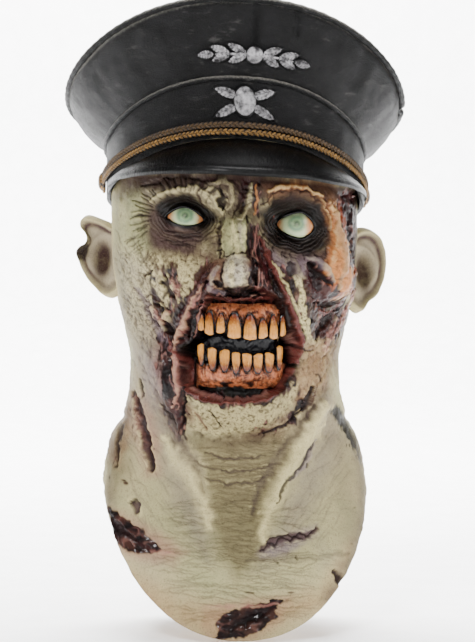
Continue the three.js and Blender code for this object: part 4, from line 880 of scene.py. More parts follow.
# The outside is laid down in three bands that meet without a seam.
whole = skin_points.reshape(*angle.shape, 3)
around = np.roll(whole, -1, axis=1) - np.roll(whole, 1, axis=1)
normals = np.cross(np.gradient(whole, axis=0), around)
normals /= np.maximum(np.linalg.norm(normals, axis=2), 1e-9)[..., None]
light = np.clip(coat @ (0.25, 0.6, 0.15) / 0.3, 0, 1)
skin_bands = {"skin_of_brow": (0, 175), "skin_of_jaw": (175, 365), "skin_of_neck": (365, len(row_drop) - 1)}
skin_pieces = []
for name, (first, last) in skin_bands.items():
    span = slice(first * column_count, (last + 1) * column_count)
    points, lined = skin_points[span], np.zeros((0, 3))
    faces = grid_faces(last - first + 1, column_count).tolist()
    if first == 0:
        lined = np.array([[0, 0, latex_wall]])
        faces += [[len(points), k, (k + 1) % column_count] for k in range(column_count)]
    if name == "skin_of_neck":
        lined = inner
        faces += grid_faces(len(inner_rows), inner_columns, len(points))[:, ::-1].tolist()
        rim, inner_rim = len(points) - column_count, len(points) + (len(inner_rows) - 1) * inner_columns
        for k in range(column_count):
            nxt, a = (k + 1) % column_count, inner_rim + k // inner_step
            faces.append([rim + k, a, rim + nxt])
            if (k + 1) % inner_step == 0:
                faces.append([rim + nxt, a, inner_rim + (k // inner_step + 1) % inner_columns])
        top = len(points)
        faces += [[top + len(inner) - 1, top + (k + 1) % inner_columns,
            top + k] for k in range(inner_columns)]
    piece = mesh_piece(name, np.concatenate([points, lined]), faces)
    extra = len(lined)
    paint_on(
        piece,
        light=np.concatenate([light[span], np.full(extra, 0.7)]),
        paint=np.concatenate([coat[span], inside_coat[:extra]]),
        wet=np.concatenate([wet[span], np.zeros(extra)]),
        grain=np.concatenate([grain[span], np.zeros(extra)]),
    )
    if not extra or first == 0:
        smooth = np.concatenate([normals.reshape(-1, 3)[span], np.tile([[0, 0, 1.0]], (extra, 1))])
        piece.data.normals_split_custom_set_from_vertices(smooth.tolist())
    skin_pieces.append(piece)


class Value:
    """A number, colour or vector in a material: sums on it become Math nodes."""

    def __init__(self, material, socket):
        self.material, self.socket = material, socket

    def _math(self, operation, *values):
        return self.material.node("ShaderNodeMath", {"operation": operation}, dict(enumerate(values)))

    def __add__(self, other):
        return self._math("ADD", self, other)

    def __radd__(self, other):
        return self._math("ADD", other, self)

    def __sub__(self, other):
        return self._math("SUBTRACT", self, other)

    def __rsub__(self, other):
        return self._math("SUBTRACT", other, self)

    def __mul__(self, other):
        return self._math("MULTIPLY", self, other)

    def __rmul__(self, other):
        return self._math("MULTIPLY", other, self)

    def between(self, low, high):
        """A smooth step from 0 at low to 1 at high."""
        settings = {"interpolation_type": "SMOOTHSTEP"}
        return self.material.node("ShaderNodeMapRange", settings, {"Value": self, "From Min": low,
            "From Max": high})


class Finish:
    """A material made of nodes, and the few that this mask's paint needs."""

    def __init__(self, name, **steady):
        self.data = bpy.data.materials.new(name)
        self.data.use_nodes = True
        self.tree = self.data.node_tree
        self.shader = self.tree.nodes["Principled BSDF"]
        for socket, value in steady.items():
            self.shader.inputs[socket.replace("_", " ")].default_value = value
        self.place = self.node("ShaderNodeTexCoord", {}, {}, "Object")

    def node(self, kind, settings, inputs, output=0):
        made = self.tree.nodes.new(kind)
        for setting, value in settings.items():
            setattr(made, setting, value)
        for socket, value in inputs.items():
            if isinstance(value, Value):
                self.tree.links.new(value.socket, made.inputs[socket])
            else:
                made.inputs[socket].default_value = value
        return Value(self, made.outputs[output])

    def noise(self, size, detail=4, rough=0.6, stretch=(1, 1, 1)):
        """Noise from 0 to 1 with bumps of about that many millimetres."""
        place = self.node("ShaderNodeMapping", {}, {"Vector": self.place, "Scale": stretch})
        inputs = {"Vector": place, "Scale": 1000 / size, "Detail": detail, "Roughness": rough}
        return self.node("ShaderNodeTexNoise", {}, inputs)

    def cells(self, size):
        """Distance from the middle of cells of about that many millimetres."""
        return self.node("ShaderNodeTexVoronoi", {}, {"Vector": self.place, "Scale": 1000 / size})

    def kept(self, name, output="Fac"):
        return self.node("ShaderNodeAttribute", {"attribute_name": name}, {}, output)

    def mix(self, share, first, second, blend="MIX"):
        colours = [c if isinstance(c, Value) else (*c, 1) for c in (first, second)]
        settings = {"data_type": "RGBA", "blend_type": blend}
        return self.node("ShaderNodeMix", settings, {0: share, 6: colours[0], 7: colours[1]}, 2)

    def dents(self, height, depth, strength=1.0):
        """Relief of a depth in millimetres."""
        return self.node("ShaderNodeBump", {}, {"Height": height, "Distance": depth * mm,
            "Strength": strength})

    def drive(self, **links):
        for socket, value in links.items():
            self.tree.links.new(value.socket, self.shader.inputs[socket.replace("_", " ")])


latex = Finish("painted_latex", Coat_Roughness=0.12, Specular_IOR_Level=0.08)
paint, wetness, stipple = latex.kept("paint", "Color"), latex.kept("wet"), latex.kept("grain")
broad, fine, dust = latex.noise(9), latex.noise(2.2, 5, 0.7), latex.noise(0.8, 3)
specks = dust.between(0.56, 0.7) * (0.12 + 0.75 * stipple)
bright = latex.kept("light")
colour = latex.mix(broad.between(0.35, 0.75) * bright * 0.16, paint, tones["cream"])
colour = latex.mix(fine.between(0.5, 0.78) * 0.34, colour, tones["shade"], "MULTIPLY")
dots = latex.cells(1.5)
colour = latex.mix(specks, colour, tones["brown"])
colour = latex.mix(dots.between(0.42, 0.2) * stipple * bright * fine.between(0.4, 0.55) * 0.8, colour,
    tones["brown"])
colour = latex.mix(dust.between(0.5, 0.2) * bright * (0.1 + 0.3 * stipple), colour, tones["cream"])
latex.drive(
    Base_Color=colour,
    Roughness=0.58 - 0.34 * wetness + 0.1 * fine,
    Coat_Weight=wetness * 0.3,
    Normal=latex.dents(fine * 0.55 + dust * 0.3 + broad * 0.5, 0.9, 0.75),
)
for piece in skin_pieces:
    piece.data.materials.append(latex.data)
    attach(piece, "root")
    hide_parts("skin")

# ---- Ears ----------------------------------------------------------------------------------------
# Cast with the skin: a rim rolled over a bowl, and the left one has a piece bitten out of its edge.
ear_outlines = {  # reach outward and height, as shares of 38 mm and 34 mm, from the lobe's root round
    -1: [(-0.2, -0.6), (0.05, -0.92), (0.3, -0.9), (0.52, -0.72), (0.74, -0.45), (0.9, -0.12), (0.98, 0.1),
         (0.9, 0.24), (0.74, 0.33), (0.7, 0.46), (0.76, 0.6), (0.86, 0.72), (0.86, 0.88), (0.7, 0.95),
         (0.42, 0.87), (0.1, 0.72), (-0.2, 0.5)],
    1: [(-0.2, -0.6), (0.05, -0.94), (0.25, -0.98), (0.42, -0.8), (0.66, -0.62), (0.84, -0.3), (0.93, 0.05),
        (0.93, 0.38), (0.84, 0.68), (0.66, 0.88), (0.4, 0.97), (0.12, 0.9), (-0.2, 0.62)],
}
ear_reach, ear_half, ear_thick, ear_drop, ear_back = 38, 34, 6, 151, 9
ear_flare, ear_columns = 35, 120


def smooth_loop(path, count):
    """Points evenly placed on a smooth closed curve through a few points."""
    path = np.array(path, float)
    many = []
    for k in range(len(path)):
        a, b, c, d = (path[(k + s) % len(path)] for s in (-1, 0, 1, 2))
        t = np.linspace(0, 1, 24, endpoint=False)[:, None]
        many.append(0.5 * (
            2 * b + (c - a) * t + (2 * a - 5 * b + 4 * c - d) * t**2 + (3 * b - a - 3 * c + d) * t**3))
    many = np.concatenate(many)
    step = np.r_[0, np.cumsum(np.linalg.norm(np.diff(many, axis=0, append=many[:1]), axis=1))]
    at = np.linspace(0, step[-1], count, endpoint=False)
    closed = np.concatenate([many, many[:1]])
    return np.stack([np.interp(at, step, closed[:, k]) for k in range(2)], 1)


for side, path in ear_outlines.items():
    name = "ear_left" if side < 0 else "ear_right"
    edge = smooth_loop(path, ear_columns) * (ear_reach, ear_half)
    middle = np.array([0.3 * ear_reach, 0.0])
    front_rings, back_rings = 34, 12
    rings, coats, wets = [], [], []
    for ring in range(front_rings + back_rings + 1):
        front = ring <= front_rings
        share = ring / front_rings if front else 1 - (ring - front_rings) / back_rings
        flat = middle + (edge - middle) * max(share, 0.001)
        x, y = flat[:, 0] / ear_reach, flat[:, 1] / ear_half
        if front:
            roll = np.exp(-(((share - 0.9) / 0.075) ** 2)) * 3.4
            bowl = -5 * np.exp(-(((x - 0.34) / 0.2) ** 2) - ((y + 0.02) / 0.34) ** 2)
            fold = 2.8 * np.exp(-(((np.hypot((x - 0.1) / 1.05, y * 0.95) - 0.5) / 0.09) ** 2)) * ease(-0.75,
                0, y)
            flap = 2.5 * np.exp(-(((x - 0.02) / 0.1) ** 2) - ((y + 0.1) / 0.16) ** 2)
            height = ear_thick + roll + bowl + fold + flap - 3.2 * max(share - 0.93, 0) / 0.07
            shade = np.clip(-bowl / 4.5, 0, 1) + 0.5 * np.exp(-(((share - 0.74) / 0.08) ** 2))
            shade = np.clip(shade - 0.3 * np.clip(fold / 2.4, 0, 1), 0, 1)
        else:
            height = ear_thick * 0.45 - 2.4 * math.sqrt(1 - share * share) + 0 * x
            shade = 0 * x
        bite = np.exp(-(((x - 0.84) / 0.2) ** 2) - ((y - 0.22) / 0.28) ** 2) if side < 0 else 0 * x
        concha_shade = np.exp(-(((x - 0.36) / 0.17) ** 2) - ((y + 0.1) / 0.4) ** 2) * front
        groove_shade = np.exp(-(((share - 0.76) / 0.06) ** 2)) * ease(-0.8, -0.2, y) * front
        # Painted shade darkens the bowl, the concha and the groove and tints the ear violet inside its pale
        # rim; the bite is a maroon stain.
        coat_here = tones["pale"] + (tones["violet"] - tones["pale"]) * (0.45 * front * ease(0.9, 0.75,
            share))
        stains = (("brown", 0.9 * shade), ("bag", groove_shade), ("brown", 1.4 * concha_shade), ("maroon", 2.2 * bite))
        for dark, mask in stains:
            coat_here = coat_here + (tones[dark] - coat_here) * np.clip(mask, 0, 0.96)[:, None]
        rings.append(np.stack([flat[:, 0], flat[:, 1], height], 1))
        coats.append(coat_here)
        wets.append(0.25 * bite)
    local = np.concatenate(rings)
    local[:, :2] += np.stack([cloud(local, 7), cloud(local + 50, 7)], 1) * 0.4
    local[:, 2] += 0.35 * cloud(local, 5)
    flare = math.radians(ear_flare)
    root = float(head_section(np.array([float(ear_drop)]))[0][0]) - ear_thick
    sink = lean_slope * head_width / 2
    placed = np.stack([
        side * (root + local[:, 0] * math.cos(flare) + local[:, 2] * math.sin(flare)),
        ear_back + local[:, 0] * math.sin(flare) - local[:, 2] * math.cos(flare),
        latex_wall - ear_drop + local[:, 1] - side * sink,
    ], 1)
    faces = grid_faces(len(rings), ear_columns)
    ear = mesh_piece(name, placed, faces if side < 0 else faces[:, ::-1])
    paint_on(ear, light=np.full(len(placed), 0.6), paint=np.concatenate(coats), wet=np.concatenate(wets),
        grain=np.full(len(placed), 0.25))
    ear.data.materials.append(latex.data)
    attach(ear, "root")

# ---- Eyeballs ------------------------------------------------------------------------------------
# Clouded balls of cast latex under clear gloss: milky green, a grey pupil, and sore orange corners.
clouded = Finish("clouded_eye", Specular_IOR_Level=0.2, Coat_Weight=0.2, Coat_Roughness=0.05)
veil = clouded.noise(4, 5, 0.6)
threads = clouded.noise(1.6, 3, 0.6, (1, 1, 0.35))
eye_colour = clouded.kept("paint", "Color")
eye_colour = clouded.mix(veil.between(0.45, 0.7) * 0.25, eye_colour, tone(206, 214, 180))
eye_colour = clouded.mix(threads.between(0.56, 0.7) * 0.5 * clouded.kept("sore"), eye_colour, tone(170, 80,
    60))
clouded.drive(Base_Color=eye_colour, Roughness=0.12 + 0.2 * veil, Normal=clouded.dents(veil, 0.15))

for side in (-1, 1):
    middle = eye_middle(side)
    rings, columns = 40, 96
    turn = 2 * math.pi * np.arange(columns) / columns
    points, coats, sore = [], [], []
    for ring in range(rings):
        tilt = 1.75 * (ring + 0.02) / (rings - 1)
        at = np.stack([
            np.sin(tilt) * np.cos(turn), np.full(columns, -np.cos(tilt)), np.sin(tilt) * np.sin(turn)
        ], 1)
        points.append(middle + at * eye_radius)
        px_here, py_here = in_picture(points[-1] * mm).T
        pupil = (185, 215.5) if side < 0 else (296.7, 223.6)
        away = np.hypot(px_here - pupil[0], (py_here - pupil[1]) * 1.1)
        out = np.abs(px_here - (185 if side < 0 else 294)) / 17
        here = np.tile(tone(156, 184, 136), (columns, 1))
        here = here + (tone(198, 208, 168) - here) * (0.8 * ease(7, 11, away) * ease(1.1, 0.6, out))[:,
            None]
        here = here + (tone(120, 150, 128) - here) * (0.7 * np.exp(-(((away - 6.5) / 2) ** 2)))[:, None]
        here = here + (tone(70, 88, 88) - here) * (0.85 * ease(5, 1.5, away))[:, None]
        raw = ease(0.5, 0.95, out)
        here = here + (tone(214, 140, 92) - here) * (0.9 * raw)[:, None]
        # painted shadow of the upper lid across the top of the ball
        upper = ease(4, 9, pupil[1] - py_here + 0.12 * np.abs(px_here - pupil[0]))
        here = here + (tone(90, 104, 84) - here) * (0.7 * upper)[:, None]
        coats.append(here)
        sore.append(raw)
    ball = mesh_piece(f"eyeball_{'left' if side < 0 else 'right'}", np.concatenate(points),
        grid_faces(rings, columns)[:, ::-1])
    paint_on(ball, paint=np.concatenate(coats), sore=np.concatenate(sore))
    # A wet black rim runs round the gap of the lids.
    rim_points, rim_sides = 90, 10
    gap = smooth_loop(almonds[side], rim_points)
    away = middle[1] - 9 - camera_place[1] / mm  # from the camera to the front of the ball
    x_rim = (gap[:, 0] - picture_middle[0]) / picture_scale * away + camera_place[0] / mm
    x_rim = x_rim + away * math.tan(camera_turn)
    z_rim = (picture_middle[1] - gap[:, 1]) / picture_scale * away + camera_place[2] / mm
    beside = np.hypot(x_rim - middle[0], z_rim - middle[2])
    y_rim = middle[1] - np.sqrt(np.maximum(eye_radius**2 - beside**2, 4)) - 0.7
    core = np.stack([x_rim, y_rim, z_rim], 1)
    out = core - middle
    out[:, 1] = 0
    out /= np.linalg.norm(out, axis=1)[:, None]
    loops = []
    for t in 2 * math.pi * np.arange(rim_sides) / rim_sides:
        thick = 0.75 + 0.2 * cloud(core + 9, 3)
        sideways = out * (thick * (1.3 + 1.3 * math.cos(t)))[:, None]
        loops.append(core + sideways + np.array([0, 1, 0]) * (thick * math.sin(t))[:, None])
    points_rim = np.stack(loops, 1).reshape(-1, 3)
    last = (rim_points - 1) * rim_sides
    faces_rim = grid_faces(rim_points, rim_sides).tolist()
    faces_rim += [[last + k, k, (k + 1) % rim_sides, last + (k + 1) % rim_sides] for k in range(rim_sides)]
    lid = mesh_piece(f"lid_rim_{'left' if side < 0 else 'right'}", points_rim, faces_rim)
    paint_on(lid, light=np.zeros(len(points_rim)), paint=np.tile(tones["black"], (len(points_rim), 1)),
        wet=np.full(len(points_rim), 0.8),
             grain=np.zeros(len(points_rim)))
    lid.data.materials.append(latex.data)
    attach(lid, "root")
    ball.data.materials.append(clouded.data)
    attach(ball, "root")
    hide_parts("eye_left" if side < 0 else "eye_right")

# ---- Gums ----------------------------------------------------------------------------------------
# Lumpy raw gums of cast latex in the open mouth, painted orange-red over black and glossed wet.
gum_width, gum_proud, mouth_height, tooth_tall, tooth_thick = 68, 12, 84, 19, 4.4
gum_rings, gum_columns = 22, 90
gum_rows = {"upper": (-0.357, -0.159), "lower": (0.16, 0.377)}  # top and foot, shares of mouth_height
tooth_widths = [(0, 0.5), (0.1, 0.7), (0.3, 0.94), (0.65, 1.15), (0.9, 1.16), (1,
    0.95)]  # from root to biting edge
raw_gum = Finish("raw_gum", Specular_IOR_Level=0.15, Coat_Weight=0.18, Coat_Roughness=0.08)
upper_teeth = [  # x, width and height as shares of the gum's width and 19 mm, root below the mouth's middle
    (-0.41, 0.08, 0.68, -0.277), (-0.335, 0.1, 0.93, -0.293), (-0.222, 0.092, 0.78, -0.277),
    (-0.09, 0.138, 1.0, -0.28), (0.069, 0.138, 1.0, -0.267), (0.202, 0.1, 0.78, -0.232),
    (0.31, 0.098, 0.97, -0.267), (0.405, 0.076, 0.82, -0.258),
]
lower_teeth = [
    (-0.408, 0.085, 0.88, 0.186), (-0.301, 0.098, 0.91, 0.227), (-0.181, 0.108, 0.87, 0.237),
    (-0.068, 0.088, 0.87, 0.256), (0.043, 0.104, 0.74, 0.237), (0.156, 0.1, 0.8, 0.256),
    (0.271, 0.108, 0.8, 0.246), (0.378, 0.086, 0.95, 0.221),
]
flesh_noise, fibres_and_sheen = raw_gum.noise(5, 5, 0.65), raw_gum.noise(1.5, 4, 0.6, (1, 1, 0.4))
gum_colour = raw_gum.mix(flesh_noise.between(0.35, 0.6), tone(104, 42, 26), tone(204, 124, 82))
# pale fibre streaks that are partly a painted sheen, then dark maroon ones
gum_colour = raw_gum.mix(fibres_and_sheen.between(0.5, 0.7) * 0.75, gum_colour, tone(212, 154, 116))
gum_colour = raw_gum.mix(fibres_and_sheen.between(0.42, 0.28) * 0.7, gum_colour, tones["maroon"])
gum_colour = raw_gum.mix(raw_gum.kept("line"), gum_colour, tones["black"])
raw_gum.drive(
    Base_Color=gum_colour, Roughness=0.2 + 0.25 * flesh_noise,
    Normal=raw_gum.dents(flesh_noise + 0.5 * fibres_and_sheen, 1.2),
)


def mouth_floor(x, deep):
    half, fore, _ = head_section(np.asarray(deep, float))
    return mouth_depth - fore * (1 - (np.abs(x) / half) ** section_power) ** (1 / section_power)


def arch(x, deep, proud=gum_proud):
    """How far back the gum's front line lies, seen from above."""
    across = np.minimum(np.abs(x) / (gum_width / 2), 1)
    return mouth_floor(x, deep) - proud * np.sqrt(1 - across * across)


for name, (top, foot) in gum_rows.items():
    down_steps = np.linspace(0, 1, gum_rings)
    turn = np.linspace(0, math.pi, gum_columns)
    x = -np.cos(turn) * gum_width / 2
    rings = []
    for step in down_steps:
        deep = mouth_drop + mouth_height * (top + (foot - top) * step)
        proud = gum_proud * (0.45 + 0.55 * math.sin(math.pi * np.clip(step, 0.04, 0.96)) ** 0.5)
        y = arch(x, np.full_like(x, deep), proud)
        rings.append(np.stack([x, y, np.full_like(x, latex_wall - deep)], 1))
    points = np.concatenate(rings)
    swell = 0.8 * cloud(points, 7) + 0.5 * cloud(points, 3) + 0.9 * np.cos(points[:,
        0] / (gum_width / 2) * math.pi * 4) * 0.6
    points[:, 1] -= swell
    points[:, 2] += 0.9 * cloud(points + 33, 6)
    line = np.zeros(len(points))
    for across, wide, tall, root in upper_teeth if name == "upper" else lower_teeth:
        down_way = -1 if name == "upper" else 1
        middle_z = latex_wall - mouth_drop - root * mouth_height + down_way * tall * tooth_tall / 2
        along = np.clip(0.5 + (middle_z - points[:, 2]) * -down_way / (tall * tooth_tall), 0, 1)
        half = wide * gum_width / 2 * smooth_row(tooth_widths, 1, along)
        ring = np.abs((points[:, 0] - across * gum_width) / (half + 0.3)) ** 2.6
        ring = (ring + np.abs((points[:, 2] - middle_z) / (tall * tooth_tall / 2 + 0.4)) ** 6) ** (1 / 2.6)
        line = np.maximum(line, np.exp(-(((ring - 1.1) / 0.2) ** 2)))
        points[:, 1] -= 0.9 * np.exp(-(((ring - 1.5) / 0.25) ** 2))
    line = np.maximum(line, np.repeat(ease(0.25, 0.0, down_steps if name == "lower" else 1 - down_steps),
        gum_columns))
    if name == "lower":
        line = np.maximum(line, np.repeat(ease(0.5, 0.85, down_steps), gum_columns) * ease(-0.4, 0.3,
            cloud(points, 3)))
    # the ends of the arch are blacked as painted shade
    line = np.maximum(line, ease(0.86, 0.98, np.abs(points[:, 0]) / gum_width * 2))
    front = len(points)
    shut = points.copy().reshape(gum_rings, gum_columns, 3)
    shut[..., 1] = np.maximum(shut[..., 1] + 5, mouth_floor(gum_width / 2, mouth_drop) + 3)
    points = np.concatenate([points, shut.reshape(-1, 3)])
    faces = grid_faces(gum_rings, gum_columns, wrap=False).tolist()
    faces += grid_faces(gum_rings, gum_columns, front, wrap=False)[:, ::-1].tolist()
    loop = [*range(gum_columns), *range(2 * gum_columns - 1, front, gum_columns)]
    loop += [*range(front - 2, front - gum_columns - 1, -1), *range(front - 2 * gum_columns, 0,
        -gum_columns)]
    loop = list(dict.fromkeys(loop))
    faces += [[a, b, b + front, a + front] for a, b in zip(loop, loop[1:] + loop[:1])]
    gum = mesh_piece(f"gum_{name}", points, faces)
    paint_on(gum, line=np.tile(line, 2))
    gum.data.materials.append(raw_gum.data)
    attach(gum, "root")
    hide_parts(f"{name}_gum")

# ---- Teeth ---------------------------------------------------------------------------------------
# Sixteen separate long teeth, each with a crown that narrows to a bare root: ochre at the biting edge,
# orange-brown above, with black run into the gaps and painted shade on each tooth's sides and back,
# and pale streaks that are partly a painted highlight, under gloss.
enamel = Finish("stained_tooth", Specular_IOR_Level=0.2, Coat_Weight=0.18, Coat_Roughness=0.06)
down_tooth, edge_paint_and_shade = enamel.kept("down"), enamel.kept("rim")
stain, streaks_and_sheen = enamel.noise(3, 5, 0.6), enamel.noise(1.3, 4, 0.6, (1, 1, 0.25))
tooth_colour = enamel.mix((down_tooth + 0.5 * stain).between(0.35, 0.95), tone(140, 62, 24), tone(210, 150,
    74))
# pale streaks, partly a painted highlight, then dark stained ones
tooth_colour = enamel.mix(streaks_and_sheen.between(0.55, 0.75) * 0.5, tooth_colour, tone(220, 180, 112))
tooth_colour = enamel.mix(streaks_and_sheen.between(0.47, 0.3) * 0.6, tooth_colour, tone(110, 56, 30))
tooth_colour = enamel.mix((edge_paint_and_shade + 0.35 * stain).between(0.42, 0.88), tooth_colour, tone(26, 14, 12))
enamel.drive(
    Base_Color=tooth_colour, Roughness=0.16 + 0.2 * stain, Normal=enamel.dents(streaks_and_sheen + stain, 0.35),
)

for name, rows, turned_over in (("upper", upper_teeth, False), ("lower", lower_teeth, True)):
    for number, (across, wide, tall, root) in enumerate(rows, 1):
        half, height = wide * gum_width / 2, tall * tooth_tall
        columns, rings = 28, 26
        turn = 2 * math.pi * np.arange(columns) / columns
        points, down_at, edge_paint_and_shade_at = [], [], []
        for ring in range(rings):
            s = ring / (rings - 1)
            width = smooth_row(tooth_widths, 1, s)
            thick = smooth_row([(0, 0.55), (0.3, 0.95), (0.75, 1.0), (0.93, 0.72), (1, 0.35)], 1, s)
            cap = math.sqrt(max(1 - max(0, (s - 0.93) / 0.07) ** 2, 0.0)) if s < 1 else 0.02
            dx = np.sign(np.cos(turn)) * np.abs(np.cos(turn)) ** 0.85 * half * width * max(cap,
                0.55 if s < 1 else 0.02)
            dy = np.sin(turn) * tooth_thick * 0.5 * thick * (1 if s < 1 else 0.05)
            face_groove = 0.25 * np.cos(dx / half * 5) * (dy > 0)
            ragged_foot = 0.6 * math.sin(number * 2.4) * dx / half * s
            points.append(np.stack([dx, -s * height + ragged_foot, dy + tooth_thick * 0.48 + face_groove],
                1))
            down_at.append(np.full(columns, s))
            # darker at the sides, the back and near the root: black in the gaps and painted shade
            edge_paint_and_shade_at.append(np.abs(np.cos(turn)) ** 2.5 * (1 - 0.2 * s) + (dy <= 0) * 0.5 + 0.7 * max(0,
                0.2 - s) / 0.2)
        local = np.concatenate(points)
        local += 0.22 * np.stack([cloud(local + number * 9, 3), cloud(local + number * 17, 4),
            cloud(local, 3)], 1)
        if turned_over:
            local[:, :2] *= -1
        x = across * gum_width
        top, foot = gum_rows[name]
        seat = mouth_drop + mouth_height * (top + (foot - top) * 0.18)
        front = [float(arch(np.array([x + d]), np.array([seat]))[0]) for d in (-1, 0, 1)]
        tangent = np.array([2.0, front[2] - front[0], 0])
        tangent /= np.linalg.norm(tangent)
        forward = np.cross(tangent, [0, 0, 1])
        origin = np.array([x, front[1], latex_wall - mouth_drop - root * mouth_height]) + forward * 0.4
        placed = origin + local[:, :1] * tangent + local[:, 1:2] * [0, 0, 1] + local[:, 2:] * forward
        faces = grid_faces(rings, columns).tolist() + [list(range(columns))[::-1],
            list(range((rings - 1) * columns, rings * columns))]
        tooth = mesh_piece(f"tooth_{name}_{number}", placed, faces)
        paint_on(tooth, down=np.concatenate(down_at), rim=np.concatenate(edge_paint_and_shade_at))
        tooth.data.materials.append(enamel.data)
        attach(tooth, "root")
        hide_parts(f"{name}_tooth_{number}")

# ---- Cap crown -----------------------------------------------------------------------------------
# The cap is cast in the same latex and painted to look like old black cloth, worn grey along its
# edges, the grey partly a painted highlight, as on the crown's left flank. The crown flares out to a
# flat top, with two creased tears in its edge.
cap_wall, cap_fit, cap_room, crown_rise = 3, 0.8, 5, 9
overhang = (28, 20, 20)  # of the crown's edge beyond the band: side, front and back
band_out = (
    head_width / 2 + cap_fit + cap_wall,
    float(head_section(np.array([float(dome_drop)]))[1][0]) + cap_room + cap_wall,
    back_depth + cap_fit + cap_wall,
)
cap_rings = {  # heights at the front, side and back as shares of the head's height, and how far out
    "foot": (-0.231, -0.385, -0.4, 0),
    "seam": (-0.071, -0.244, -0.27, 0),
    "edge": (0.13, -0.108, -0.18, 1),
    "cord": (-0.206, -0.343, -0.36, 0),
}
crown_rows = [(0, 0), (0.36, 0.5), (0.72, 0.86), (1, 1)]


def ring_height(ring, angle):
    front, at_side, back, _ = cap_rings[ring]
    c = np.cos(angle)
    return head_height * (at_side + (front - back) / 2 * c + ((front + back) / 2 - at_side) * c * c)


def cap_place(angle, out, outward, height):
    """A point of the cap: out runs from the band to the crown's edge, outward is in millimetres."""
    section = [band_out[k] + out * overhang[k] + outward for k in range(3)]
    x, y = on_section(section, angle)
    return np.stack([x, y, height - x * lean_slope], axis=-1)


def cap_point(ring, angle, outward=0.0, up=0.0):
    return cap_place(angle, cap_rings[ring][3], outward, ring_height(ring, angle) + up)


cloth = Finish("old_black_cap", Specular_IOR_Level=0.14)
nap, patch, lint = cloth.noise(1.2, 5, 0.7), cloth.noise(16, 4, 0.6), cloth.noise(0.6, 2)
rubbed = cloth.kept("rub")
cap_colour = cloth.mix(patch.between(0.35, 0.7), tone(14, 14, 16), tone(40, 39, 42))
cap_colour = cloth.mix((rubbed + 0.6 * nap).between(0.72, 1.2), cap_colour, tone(150, 147, 140))
cap_colour = cloth.mix(lint.between(0.64, 0.8) * (0.1 + 0.5 * rubbed), cap_colour, tone(170, 166, 158))
streak = cloth.noise(5, 5, 0.65, (0.35, 0.35, 1))
cap_colour = cloth.mix(streak.between(0.56, 0.76) * 0.34, cap_colour, tone(120, 118, 116))
cap_colour = cloth.mix(nap.between(0.45, 0.25) * 0.6, cap_colour, tone(8, 8, 9))
cloth.drive(
    Base_Color=cap_colour, Roughness=0.36 + 0.25 * nap,
    Normal=cloth.dents(nap + 0.4 * lint + patch + streak, 0.9),
)

cap_columns = 300
cap_angle = np.linspace(-math.pi, math.pi, cap_columns, endpoint=False)


def finish_cap_piece(piece, node, rub, material=cloth):
    paint_on(piece, rub=rub)
    piece.data.materials.append(material.data)
    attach(piece, "root")
    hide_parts(node)


def crown_shell(inset):
    """Rings from the middle of the top out to the edge and down to the seam, and how grey they are: wear
    that is also a painted highlight.
    """
    rings, rubs = [], []
    slant = 1.3 * inset
    edge = cap_point("edge", cap_angle, -slant, -1.5 * inset)
    top = latex_wall + crown_rise - inset
    for reach in np.linspace(0.02, 0.985, 34):
        rise = smooth_row([(0, 1), (0.28, 0.94), (0.62, 0.6), (0.95, 0.08), (1, 0)], 1, reach)
        rings.append(np.stack([edge[:, 0] * reach, edge[:, 1] * reach, edge[:,
            2] * (1 - rise) + top * rise], 1))
        rubs.append(np.full(len(cap_angle), 0.12 + 0.45 * ease(0.85, 1, reach)))
    for up in np.linspace(1, 0, 34):
        low, high = ring_height("seam", cap_angle) + 0.2, ring_height("edge", cap_angle) - inset / 2
        out = smooth_row(crown_rows, 1, up)
        rings.append(cap_place(cap_angle, out, -slant, low + (high - low) * up))
        # grey near the edge, worn and a painted highlight, and a painted highlight down the left flank
        rubs.append(0.15 + 0.5 * ease(0.86, 1, up) + 0.25 * np.clip(-np.sin(cap_angle), 0, 1))
    return rings, rubs


rings, rubs = crown_shell(0)
points = np.concatenate(rings)
tucks = sum(  # soft folds where the cloth would be drawn in
    0.9 * np.exp(-(((np.degrees(np.tile(cap_angle, len(rings))) - at) / 3.2) ** 2)) for at in (-62, -38,
        -14, 19, 44, 71)
)
drawn = np.repeat(ease(0, 0.5, np.linspace(0, 1, len(rings))) * ease(1.02, 0.75,
    np.linspace(0, 1, len(rings))), cap_columns)
away = points / np.maximum(np.linalg.norm(points, axis=1), 1)[:, None] * (1, 1, 0)
points = points + away * (1.3 * cloud(points, 22) + 0.5 * cloud(points, 7) - tucks * drawn)[:, None]
tears = np.zeros(len(points))
crown_seen = in_picture(points * mm)
for path in ([(255, 5), (256, 20), (255, 42)], [(298, 12), (300, 24), (297, 34)]):
    away_px, _ = to_path(*crown_seen.T, path)
    cut = np.exp(-((away_px / 1.5) ** 2)) * (points[:, 1] < -20)
    points[:, 1] += 3 * cut
    tears = np.maximum(tears, cut)
under, _ = crown_shell(cap_wall)
faces = grid_faces(len(rings), cap_columns).tolist()
faces += grid_faces(len(under), cap_columns, len(points))[:, ::-1].tolist()
last = (len(rings) - 1) * cap_columns
for k in range(cap_columns):
    nxt = (k + 1) % cap_columns
    faces.append([last + k, len(points) + last + k, len(points) + last + nxt, last + nxt])
faces += [list(range(cap_columns)), list(range(len(points), len(points) + cap_columns))[::-1]]
nick = cap_point("edge", np.array([math.radians(84)]))[0] + (4, 0, 0)
near = ease(6, 2.5, np.linalg.norm(points - nick, axis=1))
points[:, 0] -= 4.5 * near
rub = np.concatenate(rubs) * (1 - tears) - 1.2 * tears
crown = mesh_piece("cap_crown_cloth", np.concatenate([points, np.concatenate(under)]), faces)
finish_cap_piece(crown, "cap_crown", np.concatenate([rub, np.zeros(len(points))]))

